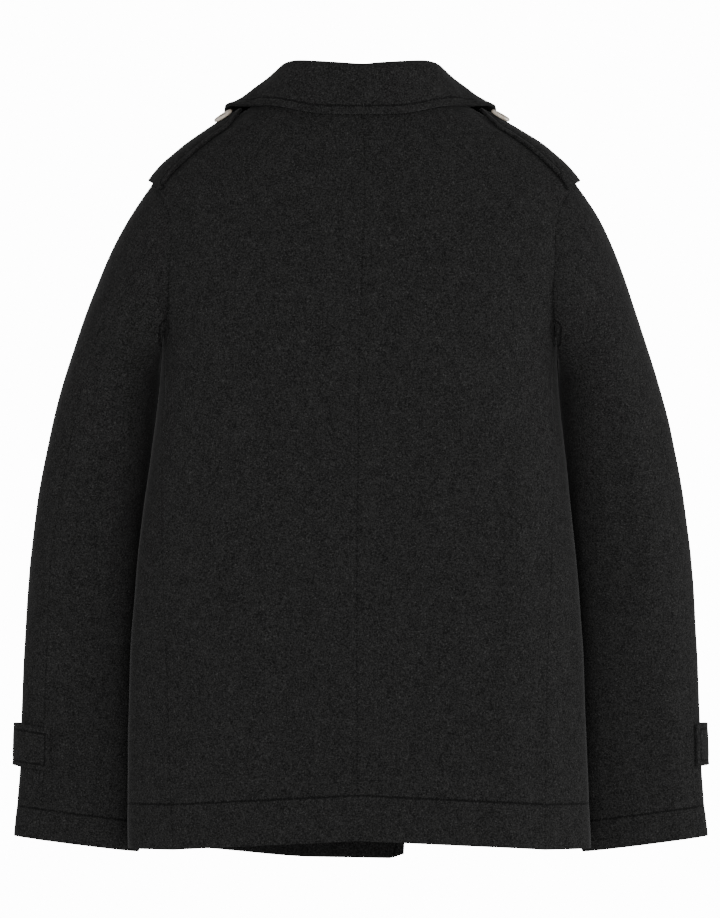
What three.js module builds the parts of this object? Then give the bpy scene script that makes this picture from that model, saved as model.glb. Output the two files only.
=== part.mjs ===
import * as THREE from 'three';

// A double-breasted wool pea coat, filled out as if worn. Millimetres, +Z up, +Y the back,
// +X the wearer's left. The origin is the middle of the back neck, where collar and back meet.

const CLOTH = 3; // thickness of the melton
const SEAM_GAP = 0.3; // between two pieces that are sewn together
const LAY_GAP = 0.8; // under a piece that lies on another one
const WALL_CLEARANCE = 2; // between a sleeve and the side of the coat

const DEGREE = Math.PI / 180;

// Level sections of the body of the coat. half is the half width, back and front are where the
// section meets the middle plane, centre is where it is widest, square is its exponent (2 is an
// ellipse) and lean is how far the section stands to the wearer's left.
const BODY = [
  { z: 14, half: 80, back: 64, front: -42, centre: 0, square: 2.0, lean: 0 },
  { z: 0, half: 101, back: 72, front: -50, centre: 0, square: 2.0, lean: 0.5 },
  { z: -24, half: 141.5, back: 83, front: -60, centre: 0, square: 2.0, lean: -1.5 },
  { z: -52, half: 183, back: 94, front: -72, centre: 0, square: 2.0, lean: -3.5 },
  { z: -84, half: 213.5, back: 104, front: -84, centre: 0, square: 2.05, lean: -3.5 },
  { z: -106, half: 220, back: 110, front: -92, centre: 2, square: 2.15, lean: -3.2 },
  { z: -135, half: 221, back: 116, front: -101, centre: 5, square: 2.35, lean: -2.5 },
  { z: -170, half: 218, back: 121, front: -108, centre: 9, square: 2.5, lean: -1 },
  { z: -205, half: 209, back: 123, front: -113, centre: 13, square: 2.5, lean: 0.3 },
  { z: -256, half: 197, back: 124, front: -119, centre: 17, square: 2.5, lean: 1.5 },
  { z: -348, half: 206, back: 118, front: -118, centre: 18, square: 2.5, lean: 2.5 },
  { z: -448, half: 218, back: 110, front: -113, centre: 18, square: 2.5, lean: 4 },
  { z: -548, half: 226, back: 107, front: -110, centre: 18, square: 2.5, lean: 4 },
  { z: -683, half: 231, back: 108, front: -108, centre: 16, square: 2.45, lean: 3 },
  { z: -760, half: 233, back: 111, front: -108, centre: 15, square: 2.4, lean: 1 },
];

// Soft hanging folds of the body: turns from the middle of the back (the wearer's left is
// positive) at the fold's top and at the hem, where it starts, half width in degrees and lift.
const BODY_FOLDS = [
  { turnTop: 36, turnHem: 31, top: -300, wide: 9, lift: 2.6 },
  { turnTop: -47, turnHem: -37, top: -280, wide: 9, lift: 3.2 },
  { turnTop: 15, turnHem: 13, top: -430, wide: 8, lift: -1.8 },
  { turnTop: -14, turnHem: -17, top: -500, wide: 8, lift: -1.6 },
  { turnTop: 104, turnHem: 96, top: -330, wide: 13, lift: -3 },
  { turnTop: -106, turnHem: -97, top: -330, wide: 13, lift: -3 },
  { turnTop: 132, turnHem: 138, top: -360, wide: 11, lift: 3 },
  { turnTop: -128, turnHem: -136, top: -340, wide: 11, lift: 3 },
];
const FOLD_FADE = 170; // height over which a fold grows

// Armhole, as seen from the side
const ARMHOLE_TOP = -84;
const ARMHOLE_BOTTOM = -256;
const ARMHOLE_BACK = 76;
const ARMHOLE_FRONT = 68;
const ARMHOLE_ROUND = 0.8;
const ARMHOLE_STEPS = 20;
const SIDE_SEAM_STEP = 8; // where the seam at the side of the back meets the armhole
const SHOULDER_NECK_Z = 14; // neck end of the shoulder seam
const NAPE_Z = 0;
// Where the rows that end under the arm and at the shoulder tip meet the middle of the back
const BACK_UNDERARM_Z = -250;
const BACK_TIP_Z = -66;

// Turn of the seam at the side of the back, in degrees from the middle of the back
const SIDE_SEAM = [
  { z: -239.6, turn: 72 },
  { z: -330, turn: 67.2 },
  { z: -390, turn: 61.2 },
  { z: -470, turn: 55.6 },
  { z: -573, turn: 51 },
  { z: -680, turn: 49.2 },
  { z: -745, turn: 48.5 },
];

// Hems
const HEM_BACK_Z = -735;
const HEM_SIDE_Z = -745;
const HEM_LEFT_FRONT_Z = -759.5;
const HEM_RIGHT_FRONT_Z = -747;
const FRONT_CORNER = 7; // how much higher a front's hem ends at its edge

// Front closing. A front's edge and its roll line are straight, with x measured past the middle.
const EDGE_HEM_X = -45;
const BREAK_X = -78;
const BREAK_Z = -290;
const GORGE_X = 62;
const GORGE_Z = -40;
const UNDERLAP_DEPTH = 5.2; // how far the right front lies under the left one
const UNDERLAP_LAPEL = 4.3; // and more, where its lapel lies between them
const UNDERLAP_FADE = 58;
const ROLL_TIP_Z = -79; // where the row of the shoulder tip meets the roll line
const UNDERLAP_DEEPER_Z = -340; // where the right front starts to go deeper
const UNDERLAP_BLEND = 40;
const LAPEL_TIP_X = 160;
const LAPEL_TIP_Z = -100;
const LAPEL_GAP = 1.3; // under a lapel
const LAPEL_BELLY = 11;
const LAPEL_FOOT = 5; // width of a lapel where it starts
const LAPEL_SETBACK = 0.5; // behind the roll line
const LAPEL_ROWS = 12;
const LAPEL_COLUMNS = 5;
const NOTCH_SHARE = 0.42; // place of the notch on the line from gorge to lapel tip

const ROWS_BELOW = 10;
const ROWS_SHOULDER = 4;
const BACK_COLUMNS = 11;
const FRONT_COLUMNS = 14;
const UNDERARM_COLUMNS = ARMHOLE_STEPS / 2 - SIDE_SEAM_STEP;

// Outer line of a sleeve, seen from behind
const SLEEVE_OUTER = [
  { z: -84, x: 215 },
  { z: -103, x: 224.5 },
  { z: -133, x: 236.5 },
  { z: -163, x: 248.5 },
  { z: -193, x: 262.5 },
  { z: -223, x: 277 },
  { z: -253, x: 289.5 },
  { z: -298, x: 303 },
  { z: -358, x: 317 },
  { z: -418, x: 327 },
  { z: -478, x: 333.5 },
  { z: -538, x: 337 },
  { z: -598, x: 340 },
  { z: -673, x: 343 },
  { z: -740, x: 350 },
];

// Sections along a sleeve, from just below the underarm (0) to the cuff (1)
const SLEEVE = [
  { along: 0, y: -14, depth: 65, square: 2.1 },
  { along: 0.15, y: -24, depth: 63, square: 2.1 },
  { along: 0.3, y: -35, depth: 60, square: 2.15 },
  { along: 0.55, y: -49, depth: 54, square: 2.2 },
  { along: 0.8, y: -60, depth: 45, square: 2.25 },
  { along: 1, y: -64, depth: 36, square: 2.3 },
];
const SLEEVE_TOP = { outerZ: -251, innerZ: -284 };
const SLEEVE_CUFF = { outerZ: -736, innerZ: -752 };
const CUFF_INNER_X = 223;
const CAP_ROWS = 5;
// Direction in which the sleeve leaves the armhole, at the shoulder tip and under the arm
const CAP_LEAVE = { tip: { out: 0.6, up: -0.78 }, underarm: { out: 0.12, up: -1 }, fore: 0.1 };
const TUBE_ROWS = 11;
const SLEEVE_SEAMS = { left: 3, right: 2 }; // armhole step at which the hind seam starts
const UNDERARM_CREASE = 0.5; // extra room in the sharp crease under the arm

// Soft folds of the sleeves: armhole steps round, place and half size along, and lift
const SLEEVE_FOLDS = [
  { step: 3.5, along: 0.2, wide: 2.2, long: 0.16, lift: -2.4 },
  { step: 4.2, along: 0.47, wide: 2.6, long: 0.12, lift: 2.2 },
  { step: 15.5, along: 0.38, wide: 2.6, long: 0.07, lift: -4.5 },
  { step: 15, along: 0.5, wide: 3, long: 0.06, lift: -4 },
  { step: 16, along: 0.14, wide: 2.6, long: 0.09, lift: -3 },
  { step: 2.4, along: 0.78, wide: 1.8, long: 0.2, lift: 1.8 },
];

// Collar. The stand rises from the neck seam, folds over and falls to the edge.
const STAND_GAP = 0.6; // between the stand and the neck edge of the coat
const FOLD_BACK = 4; // radius of its fold at the middle of the back
const FOLD_END = 2.6; // and at the tips
const STAND_LEAN = 6; // how far the stand leans to the neck at the back
const COLLAR_BACK_COLUMNS = 9;
const COLLAR_FRONT_COLUMNS = 5;
// Height of the stand over half of the collar, from the middle of the back to the tip
const STAND = [
  { column: 0, height: 30 },
  { column: 3, height: 28.5 },
  { column: 5, height: 26.5 },
  { column: 7, height: 20.5 },
  { column: 9, height: 14.5 },
  { column: 14, height: 4 },
];
const FOLD_SEGMENTS = 3;
const FALL_SEGMENTS = 4;
const FALL_CROWN = 45; // how much the fall swells towards its edge
const END_EASE = 0.3; // how far the collar's end leaves the lapel's line at the fold
const NOTCH_AT = 0.6; // place of the notch on the collar's end, from the stand to the tip
const GORGE_GAP = 1.6; // between the collar's end and the lapel, measured upwards
const FALL_REST_Z = 8; // below this height the fall rests on the shoulders
// Lower edge of the fall over half of the collar, from the middle of the back to the tip
const FALL_EDGE = [
  { column: 0, x: 0, y: 82, z: -15 },
  { column: 2, x: 39, y: 78, z: -14 },
  { column: 4, x: 73, y: 62, z: -8 },
  { column: 5, x: 90, y: 48, z: -5 },
  { column: 6, x: 103.5, y: 35, z: -7 },
  { column: 7, x: 115.5, y: 24, z: -12 },
  { column: 8, x: 126, y: 12, z: -11.5 },
  { column: 9, x: 131, y: 0, z: -12.5 },
  { column: 10, x: 133.5, y: -13, z: -19 },
  { column: 11, x: 135, y: -27, z: -29 },
  { column: 12, x: 135, y: -41, z: -41 },
  { column: 13, x: 134.5, y: -52, z: -52 },
  { column: 14, x: 132, y: -60, z: -61 },
];

// Epaulettes
const STRAP_NECK_X = 117;
const STRAP_SHOULDER_X = 208; // near the armhole
const STRAP_SETBACK = 1.5; // from the armhole seam
const STRAP_ROUND = 16; // depth of the rounded end
const STRAP_CENTRE_Y = 13;
const STRAP_NECK_HALF = 22;
const STRAP_SHOULDER_HALF = 27;
const STRAP_CROWN = 1.8; // how far its middle stands off the shoulder
const STRAP_ROWS = 8;
const STRAP_COLUMNS = 4;
const STRAP_BUTTON_X = 134;
// Where the collar rises to pass over an epaulette and its button
const STRAP_RISE_START = 22; // before its end
const STRAP_RISE = 20;
const STRAP_SIDE_RISE = 14;
const STRAP_BUTTON_RISE = 16;

// Cuff tabs
const TAB_TOP_Z = -622;
const TAB_WIDTH = 43;
const TAB_STEPS = { left: 3.4, right: 1.7 }; // armhole step at the root
const TAB_END_STEP = -3.4;
const TAB_RISE = 5.2; // how far it stands off the sleeve at the outer edge
const TAB_GAP = 0.2; // under its two ends
const TAB_ROUND = 0.7; // how full its bow is
const TAB_ROWS = 3;
const TAB_COLUMNS = 9;
const TAB_BUTTON_STEP = -2.6;

// Buttons
const SHOULDER_BUTTON = { radius: 10.4, thick: 3.6 };
const FRONT_BUTTON = { radius: 14, thick: 4.5 };
const FRONT_BUTTON_Z = [-310, -415, -520];
const FRONT_BUTTON_INSET = 27;
const BUTTON_SEGMENTS = 16;
const BUTTON_GAP = 0.4;

const COLORS = {
  wool: { color: 0x24262a, roughness: 0.95, metalness: 0 },
  under: { color: 0x1f2125, roughness: 0.95, metalness: 0 },
  horn: { color: 0x8d8171, roughness: 0.45, metalness: 0 },
};

// Curves through tables

/** Smooth curve through a table's column that never overshoots its rows. */
function tableCurve(rows, key, column) {
  const sorted = [...rows].sort((a, b) => a[key] - b[key]);
  const xs = sorted.map((row) => row[key]);
  const ys = sorted.map((row) => row[column]);
  const rises = xs.slice(1).map((x, i) => (ys[i + 1] - ys[i]) / (x - xs[i]));
  const slopes = xs.map((_, i) => {
    if (i === 0) return rises[0];
    if (i === xs.length - 1) return rises[i - 1];
    if (rises[i - 1] * rises[i] <= 0) return 0;
    return (2 * rises[i - 1] * rises[i]) / (rises[i - 1] + rises[i]);
  });
  return (x) => {
    if (x <= xs[0]) return ys[0];
    if (x >= xs[xs.length - 1]) return ys[ys.length - 1];
    const i = xs.findIndex((value) => value > x) - 1;
    const width = xs[i + 1] - xs[i];
    const t = (x - xs[i]) / width;
    const s = 1 - t;
    return (
      ys[i] * (1 + 2 * t) * s * s +
      ys[i + 1] * (1 + 2 * s) * t * t +
      slopes[i] * width * t * s * s -
      slopes[i + 1] * width * s * t * t
    );
  };
}

const tableCurves = (rows, key, columns) =>
  Object.fromEntries(columns.map((column) => [column, tableCurve(rows, key, column)]));

const mix = (a, b, t) => a + (b - a) * t;
const clamp = (x) => Math.min(1, Math.max(0, x));
const smooth = (x) => clamp(x) ** 2 * (3 - 2 * clamp(x));
const bump = (x) => (Math.abs(x) < 1 ? (1 - x * x) ** 2 : 0);

// The body's surface

const body = tableCurves(BODY, 'z', ['half', 'back', 'front', 'centre', 'square', 'lean']);
const sideSeamTurn = tableCurve(SIDE_SEAM, 'z', 'turn');

/** Level section of the body at a height. */
function section(z) {
  return {
    half: body.half(z),
    back: body.back(z) - body.centre(z),
    front: body.centre(z) - body.front(z),
    centre: body.centre(z),
    square: body.square(z),
    lean: body.lean(z),
  };
}

/** Rounded-square radius in a direction, 1 along the axes. */
function squareRadius(turn, square) {
  return (Math.abs(Math.sin(turn)) ** square + Math.abs(Math.cos(turn)) ** square) ** (-1 / square);
}

/** Point of the body without folds. turn is 0 at the middle of the back, positive to the left. */
function plainBodyPoint(turn, z) {
  const level = section(z);
  const reach = squareRadius(turn, level.square);
  const ahead = Math.cos(turn) * reach;
  return new THREE.Vector3(
    level.lean + level.half * Math.sin(turn) * reach,
    level.centre + ahead * (ahead > 0 ? level.back : level.front),
    z,
  );
}

/** Outward normal of a surface given as point(u, v), by differences. */
function normalOf(point, u, v, du, dv) {
  const across = point(u + du, v).sub(point(u - du, v));
  const up = point(u, v + dv).sub(point(u, v - dv));
  return up.cross(across).normalize();
}

const bodyFold = (turn, z) =>
  BODY_FOLDS.reduce((lift, fold) => {
    const down = (fold.top - z) / (fold.top - HEM_BACK_Z);
    const centre = mix(fold.turnTop, fold.turnHem, down);
    const off = turn / DEGREE - centre;
    const around = off - 360 * Math.round(off / 360);
    return lift + fold.lift * smooth((fold.top - z) / FOLD_FADE) * bump(around / fold.wide);
  }, 0);

/** Point of the body's outer face, with its folds. */
function bodyPoint(turn, z) {
  const plain = plainBodyPoint(turn, z);
  const lift = bodyFold(turn, z);
  if (lift === 0) return plain;
  return plain.addScaledVector(normalOf(plainBodyPoint, turn, z, 1e-3, 0.1), lift);
}

const bodyNormal = (turn, z) => normalOf(bodyPoint, turn, z, 1e-3, 0.1);

/** Turn of the point of the front that is x to the left of the body's middle plane. */
function frontTurn(x, z) {
  const level = section(z);
  const side = Math.min(Math.abs(x) / level.half, 1);
  const ahead = (1 - side ** level.square) ** (1 / level.square);
  return Math.PI - Math.sign(x) * Math.atan2(side, ahead);
}

/** Turn of the point of the left side that has a given y. */
function sideTurn(y, z) {
  const level = section(z);
  const off = y - level.centre;
  const ahead = off / (off > 0 ? level.back : level.front);
  const side = (1 - Math.abs(ahead) ** level.square) ** (1 / level.square);
  return Math.atan2(side, ahead);
}

/** How far a point is outside the body: 0 on its surface, in parts of its radius. */
function outside(point) {
  const level = section(point.z);
  const side = Math.abs(point.x - level.lean) / level.half;
  const off = point.y - level.centre;
  const ahead = Math.abs(off) / (off > 0 ? level.back : level.front);
  return (side ** level.square + ahead ** level.square) ** (1 / level.square) - 1;
}

/** Direction away from the body, and the distance to it, near its surface. */
function clearOfBody(point) {
  const step = 0.1;
  const slope = ['x', 'y', 'z'].map((axis) => {
    const next = point.clone();
    const last = point.clone();
    next[axis] += step;
    last[axis] -= step;
    return (outside(next) - outside(last)) / (2 * step);
  });
  const away = new THREE.Vector3(...slope);
  const distance = outside(point) / away.length();
  return { away: away.normalize(), distance };
}

/** Moves a point out until it stands at least a distance off the body. */
function liftedOff(point, least) {
  const lifted = point.clone();
  for (let pass = 0; pass < 4; pass += 1) {
    const { away, distance } = clearOfBody(lifted);
    if (distance >= least) break;
    lifted.addScaledVector(away, least - distance);
  }
  return lifted;
}

/** Height of the shoulder above a place, x to the side of the middle plane. */
function shoulderHeight(x, y) {
  let high = SHOULDER_NECK_Z;
  let low = -200;
  for (let pass = 0; pass < 40; pass += 1) {
    const middle = (high + low) / 2;
    const point = new THREE.Vector3(x + body.lean(middle), y, middle);
    if (outside(point) > 0) high = middle;
    else low = middle;
  }
  return (high + low) / 2;
}

// Armhole

/** Turn and height of the left armhole. step 0 is the shoulder tip and it goes round the back. */
function armhole(step) {
  const angle = (2 * Math.PI * step) / ARMHOLE_STEPS;
  const middle = (ARMHOLE_TOP + ARMHOLE_BOTTOM) / 2;
  const z = middle + ((ARMHOLE_TOP - ARMHOLE_BOTTOM) / 2) * Math.cos(angle);
  const swing = Math.sin(angle);
  const reach = swing > 0 ? ARMHOLE_BACK : ARMHOLE_FRONT;
  const y = Math.sign(swing) * reach * Math.abs(swing) ** ARMHOLE_ROUND;
  return { turn: sideTurn(y, z), z, y };
}

// Walls

/** Grid of vertices as a sheet: points, their inward directions and its faces. */
function gridSheet(rows, flipped = false) {
  const columns = rows[0].length;
  const faces = [];
  for (let i = 0; i + 1 < rows.length; i += 1) {
    for (let j = 0; j + 1 < columns; j += 1) {
      const a = i * columns + j;
      const quad = [a, a + 1, a + columns + 1, a + columns];
      faces.push(flipped ? quad.reverse() : quad);
    }
  }
  return { vertices: rows.flat(), faces };
}

/** One sheet from several that share the places where they meet. */
function welded(sheets) {
  const vertices = [];
  const places = new Map();
  const faces = sheets.flatMap((sheet) => {
    const indices = sheet.vertices.map((vertex) => {
      const key = vertex.point.toArray().map((value) => Math.round(value * 1000)).join();
      if (!places.has(key)) {
        places.set(key, vertices.length);
        vertices.push(vertex);
      }
      return places.get(key);
    });
    return sheet.faces.map((face) => face.map((index) => indices[index]));
  });
  return { vertices, faces };
}

/** Edges that only one face has, in the face's direction. */
function openEdges(faces) {
  const edges = faces.flatMap((face) => face.map((a, i) => [a, face[(i + 1) % face.length]]));
  const seen = new Set(edges.map((edge) => edge.join()));
  return edges.filter(([a, b]) => !seen.has(`${b},${a}`));
}

/** Draws a sheet's border in by half a seam gap, along the sheet. */
function drawnIn({ vertices, faces }, amount) {
  const inward = new Map();
  for (const [a, b] of openEdges(faces)) {
    const along = vertices[b].point.clone().sub(vertices[a].point).normalize();
    for (const index of [a, b]) {
      const across = vertices[index].inward.clone().negate().cross(along).normalize();
      inward.set(index, [...(inward.get(index) ?? []), across]);
    }
  }
  return {
    faces,
    vertices: vertices.map((vertex, index) => {
      if (!inward.has(index)) return vertex;
      const [first, second] = inward.get(index);
      const step = first.clone().add(second).divideScalar(Math.max(0.4, 1 + first.dot(second)));
      return { ...vertex, point: vertex.point.clone().addScaledVector(step, amount) };
    }),
  };
}

/** Closed wall from an outer sheet. The inner face is one cloth's thickness behind it. */
function wallGeometry(sheet, thickness = CLOTH) {
  const { vertices, faces } = drawnIn(sheet, SEAM_GAP / 2);
  const count = vertices.length;
  const outer = vertices.map((vertex) => vertex.point);
  const inner = vertices.map((vertex) => vertex.point.clone().addScaledVector(vertex.inward, thickness));
  const quads = [
    ...faces,
    ...faces.map((face) => face.map((index) => index + count).reverse()),
    ...openEdges(faces).map(([a, b]) => [b, a, a + count, b + count]),
  ];
  const corners = [...outer, ...inner];
  const triangles = quads.flatMap(([a, b, c, d]) =>
    corners[a].distanceTo(corners[c]) < corners[b].distanceTo(corners[d])
      ? [a, b, c, a, c, d]
      : [a, b, d, b, c, d],
  );
  const geometry = new THREE.BufferGeometry();
  const positions = corners.flatMap((point) => point.toArray());
  geometry.setAttribute('position', new THREE.Float32BufferAttribute(positions, 3));
  geometry.setIndex(triangles);
  geometry.computeVertexNormals();
  return geometry;
}

const coat = new THREE.Group();

/** Adds a named piece to the coat. */
function addPiece(name, geometry, finish) {
  const mesh = new THREE.Mesh(geometry, new THREE.MeshStandardMaterial(COLORS[finish]));
  mesh.name = name;
  coat.add(mesh);
  return mesh;
}

/** Ruled rows between two border curves of places, each place { turn, z }. */
function ruledPlaces(start, end, columns) {
  return start.map((first, i) =>
    Array.from({ length: columns + 1 }, (_, j) => ({
      turn: mix(first.turn, end[i].turn, j / columns),
      z: mix(first.z, end[i].z, j / columns),
    })),
  );
}

const levels = (from, to, steps) =>
  Array.from({ length: steps + 1 }, (_, i) => mix(from, to, i / steps));

// Sleeves

const sleeveOuterX = tableCurve(SLEEVE_OUTER, 'z', 'x');
const sleeve = tableCurves(SLEEVE, 'along', ['y', 'depth', 'square']);

/** Half width of the body at a height and a y, to one side. */
function bodySideX(side, y, z) {
  const level = section(z);
  const off = y - level.centre;
  const ahead = Math.min(1, Math.abs(off) / (off > 0 ? level.back : level.front));
  const plain = level.half * (1 - ahead ** level.square) ** (1 / level.square);
  return plain + side * level.lean;
}

/** x of a sleeve's inner line, clear of the body wherever the two pass each other. */
function sleeveInnerX(side, outerX, along, z) {
  const depth = sleeve.depth(along);
  const square = sleeve.square(along);
  let innerX = CUFF_INNER_X * smooth((along - 0.7) / 0.3);
  for (const share of levels(-0.9, 0.9, 24)) {
    const y = sleeve.y(along) + share * depth;
    const halfWidth = (outerX - bodySideX(side, y, z)) / 2;
    const recede = halfWidth * (1 - (1 - Math.abs(share) ** square) ** (1 / square));
    innerX = Math.max(innerX, bodySideX(side, y, z) + WALL_CLEARANCE - recede);
  }
  return innerX;
}

/** A sleeve's section below the underarm. step goes round as on the armhole. */
function tubePoint(side, step, along) {
  const outerZ = mix(SLEEVE_TOP.outerZ, SLEEVE_CUFF.outerZ, along);
  const innerZ = mix(SLEEVE_TOP.innerZ, SLEEVE_CUFF.innerZ, along);
  const outerX = sleeveOuterX(outerZ);
  const innerX = sleeveInnerX(side, outerX, along, innerZ);
  const angle = (2 * Math.PI * step) / ARMHOLE_STEPS;
  const reach = squareRadius(angle, sleeve.square(along));
  const across = (1 + Math.cos(angle) * reach) / 2;
  const x = mix(innerX, outerX, across);
  const y = sleeve.y(along) + sleeve.depth(along) * Math.sin(angle) * reach;
  return new THREE.Vector3(side * x, y, mix(innerZ, outerZ, across));
}

/** Direction in which the sleeve leaves the armhole. */
function capDirection(side, step) {
  const angle = (2 * Math.PI * step) / ARMHOLE_STEPS;
  const under = (1 - Math.cos(angle)) / 2;
  const outwards = mix(CAP_LEAVE.tip.out, CAP_LEAVE.underarm.out, smooth(under));
  const up = mix(CAP_LEAVE.tip.up, CAP_LEAVE.underarm.up, smooth(under));
  return new THREE.Vector3(side * outwards, CAP_LEAVE.fore * Math.sin(angle), up).normalize();
}

/** Point of the armhole's edge, a little clear of the body under the arm. */
function capStart(side, step) {
  const { turn, z } = armhole(step);
  const under = smooth((1 - Math.cos((2 * Math.PI * step) / ARMHOLE_STEPS)) / 2);
  const start = bodyPoint(side * turn, z);
  return start.add(new THREE.Vector3(side * UNDERARM_CREASE * under, 0, 0));
}

/** Point of a sleeve. v runs from 0 at the armhole through 1 below the underarm to 2, the cuff. */
function plainSleevePoint(side, step, v) {
  if (v >= 1) return tubePoint(side, step, v - 1);
  const start = capStart(side, step);
  const end = tubePoint(side, step, 0);
  const length = start.distanceTo(end);
  const leave = capDirection(side, step).multiplyScalar(length);
  const arrive = tubePoint(side, step, 0.02).sub(end).normalize().multiplyScalar(length);
  const t = v;
  const s = 1 - v;
  return start
    .multiplyScalar((1 + 2 * t) * s * s)
    .addScaledVector(end, (1 + 2 * s) * t * t)
    .addScaledVector(leave, t * s * s)
    .addScaledVector(arrive, -s * t * t);
}

const plainSleeveNormal = (side, step, v) =>
  normalOf((u, w) => plainSleevePoint(side, u, w), step, Math.max(v, 0.02), 0.05, 0.02)
    .multiplyScalar(side);

/** Lift of a sleeve's folds. */
const sleeveFold = (step, v) =>
  SLEEVE_FOLDS.reduce((lift, fold) => {
    const off = step - fold.step;
    const around = off - ARMHOLE_STEPS * Math.round(off / ARMHOLE_STEPS);
    const down = v - 1 - fold.along;
    return lift + fold.lift * bump(around / fold.wide) * bump(down / fold.long);
  }, 0);

/** Point of a sleeve's outer face, with its folds. */
function sleevePoint(side, step, v) {
  const lift = sleeveFold(step, v);
  const plain = plainSleevePoint(side, step, v);
  if (lift === 0) return plain;
  return plain.addScaledVector(plainSleeveNormal(side, step, v), lift);
}

/** Outward normal of a sleeve. */
function sleeveNormal(side, step, v) {
  const low = Math.max(v, 0.02);
  const high = Math.min(low, 1.98);
  return normalOf((u, w) => sleevePoint(side, u, w), step, high, 0.05, 0.02).multiplyScalar(side);
}

/** How far the walls of sleeve and body lean into a common edge at the armhole. */
function edgeNormal(own, other) {
  const common = own.clone().add(other).normalize();
  return own.clone().lerp(common, smooth((own.dot(other) - 0.2) / 0.4)).normalize();
}

/** Rows of a sleeve from the armhole to the cuff. */
const sleeveRows = [
  ...levels(0, 1, CAP_ROWS),
  ...levels(1, 2, TUBE_ROWS).slice(1),
];

/** One sleeve piece, between two armhole steps. */
function sleeveGeometry(side, firstStep, lastStep) {
  const steps = levels(firstStep, lastStep, lastStep - firstStep);
  const rows = sleeveRows.map((v) =>
    steps.map((step) => {
      const own = sleeveNormal(side, step, v);
      const { turn, z } = armhole(step);
      const normal = v === 0 ? edgeNormal(own, bodyNormal(side * turn, z)) : own;
      return { point: sleevePoint(side, step, v), inward: normal.negate() };
    }),
  );
  return wallGeometry(gridSheet(rows, side > 0));
}

function addSleeve(side, hand) {
  const hind = SLEEVE_SEAMS[hand];
  const fore = hind + ARMHOLE_STEPS / 2;
  addPiece(`under_sleeve_${hand}`, sleeveGeometry(side, hind, fore), 'under');
  addPiece(`top_sleeve_${hand}`, sleeveGeometry(side, fore, hind + ARMHOLE_STEPS), 'wool');
}

// Backs and fronts

/** Outward normal of a panel, turned towards the sleeve's where the two are sewn together. */
function panelNormal(side, place) {
  const own = bodyNormal(side * place.turn, place.z);
  if (place.step === undefined) return own;
  return edgeNormal(own, sleeveNormal(side, place.step, 0));
}

/** Places of the armhole between two steps, each with its step. */
const armholePlaces = (from, to) =>
  levels(from, to, Math.abs(to - from)).map((step) => ({ ...armhole(step), step }));

/** Places of the shoulder seam from the tip to the neck, without the tip. */
const shoulderPlaces = () =>
  levels(ARMHOLE_TOP, SHOULDER_NECK_Z, ROWS_SHOULDER)
    .slice(1)
    .map((z) => ({ turn: Math.PI / 2, z }));

const sideSeamPlaces = () =>
  levels(HEM_SIDE_Z, armhole(SIDE_SEAM_STEP).z, ROWS_BELOW).map((z, row) =>
    row === ROWS_BELOW
      ? { ...armhole(SIDE_SEAM_STEP), step: SIDE_SEAM_STEP }
      : { turn: sideSeamTurn(z) * DEGREE, z },
  );

/** Keeps the exact border place, with its armhole step, at the end of each ruled row. */
function withBorders(places, start, end) {
  return places.map((row, i) => [start[i], ...row.slice(1, -1), end[i]]);
}

function backGeometry(side) {
  const beside = armholePlaces(SIDE_SEAM_STEP, 0).slice(1);
  const border = [...sideSeamPlaces(), ...beside, ...shoulderPlaces()];
  const beneath = armhole(SIDE_SEAM_STEP).z;
  const seamLevels = [
    ...levels(HEM_BACK_Z, BACK_UNDERARM_Z, ROWS_BELOW),
    ...beside.map(({ z }) =>
      mix(BACK_UNDERARM_Z, BACK_TIP_Z, (z - beneath) / (ARMHOLE_TOP - beneath)),
    ),
    ...levels(BACK_TIP_Z, NAPE_Z, ROWS_SHOULDER).slice(1),
  ];
  const middle = seamLevels.map((z) => ({ turn: 0, z }));
  const places = withBorders(ruledPlaces(middle, border, BACK_COLUMNS), middle, border);
  const rows = places.map((row) =>
    row.map((place) => ({
      point: bodyPoint(side * place.turn, place.z),
      inward: panelNormal(side, place).negate(),
    })),
  );
  return wallGeometry(gridSheet(rows, side > 0));
}

/** x of a front's edge below the break and of its roll line above it. */
function edgeX(z) {
  const aboveHem = (z - HEM_LEFT_FRONT_Z) / (BREAK_Z - HEM_LEFT_FRONT_Z);
  if (z < BREAK_Z) return mix(EDGE_HEM_X, BREAK_X, aboveHem);
  return mix(BREAK_X, GORGE_X, (z - BREAK_Z) / (GORGE_Z - BREAK_Z));
}

/** How far a front's face lies under the coat's surface. x grows to the front's own side. */
function underlap(side, x, z) {
  if (side > 0) return 0;
  const depth = UNDERLAP_DEPTH + UNDERLAP_LAPEL * smooth((z - UNDERLAP_DEEPER_Z) / UNDERLAP_BLEND);
  return depth * smooth((UNDERLAP_FADE - edgeX(z) - x) / UNDERLAP_FADE);
}

/** Vertex of a front, or of what lies on it, moved out by an offset. */
function frontVertex(side, place, offset = 0) {
  const point = bodyPoint(side * place.turn, place.z);
  const normal = panelNormal(side, place);
  const x = side * (point.x - body.lean(place.z));
  const ahead = place.turn > Math.PI / 2;
  const depth = ahead ? underlap(side, x, place.z) : 0;
  return {
    point: point.addScaledVector(normal, offset - depth),
    inward: normal.negate(),
  };
}

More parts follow.
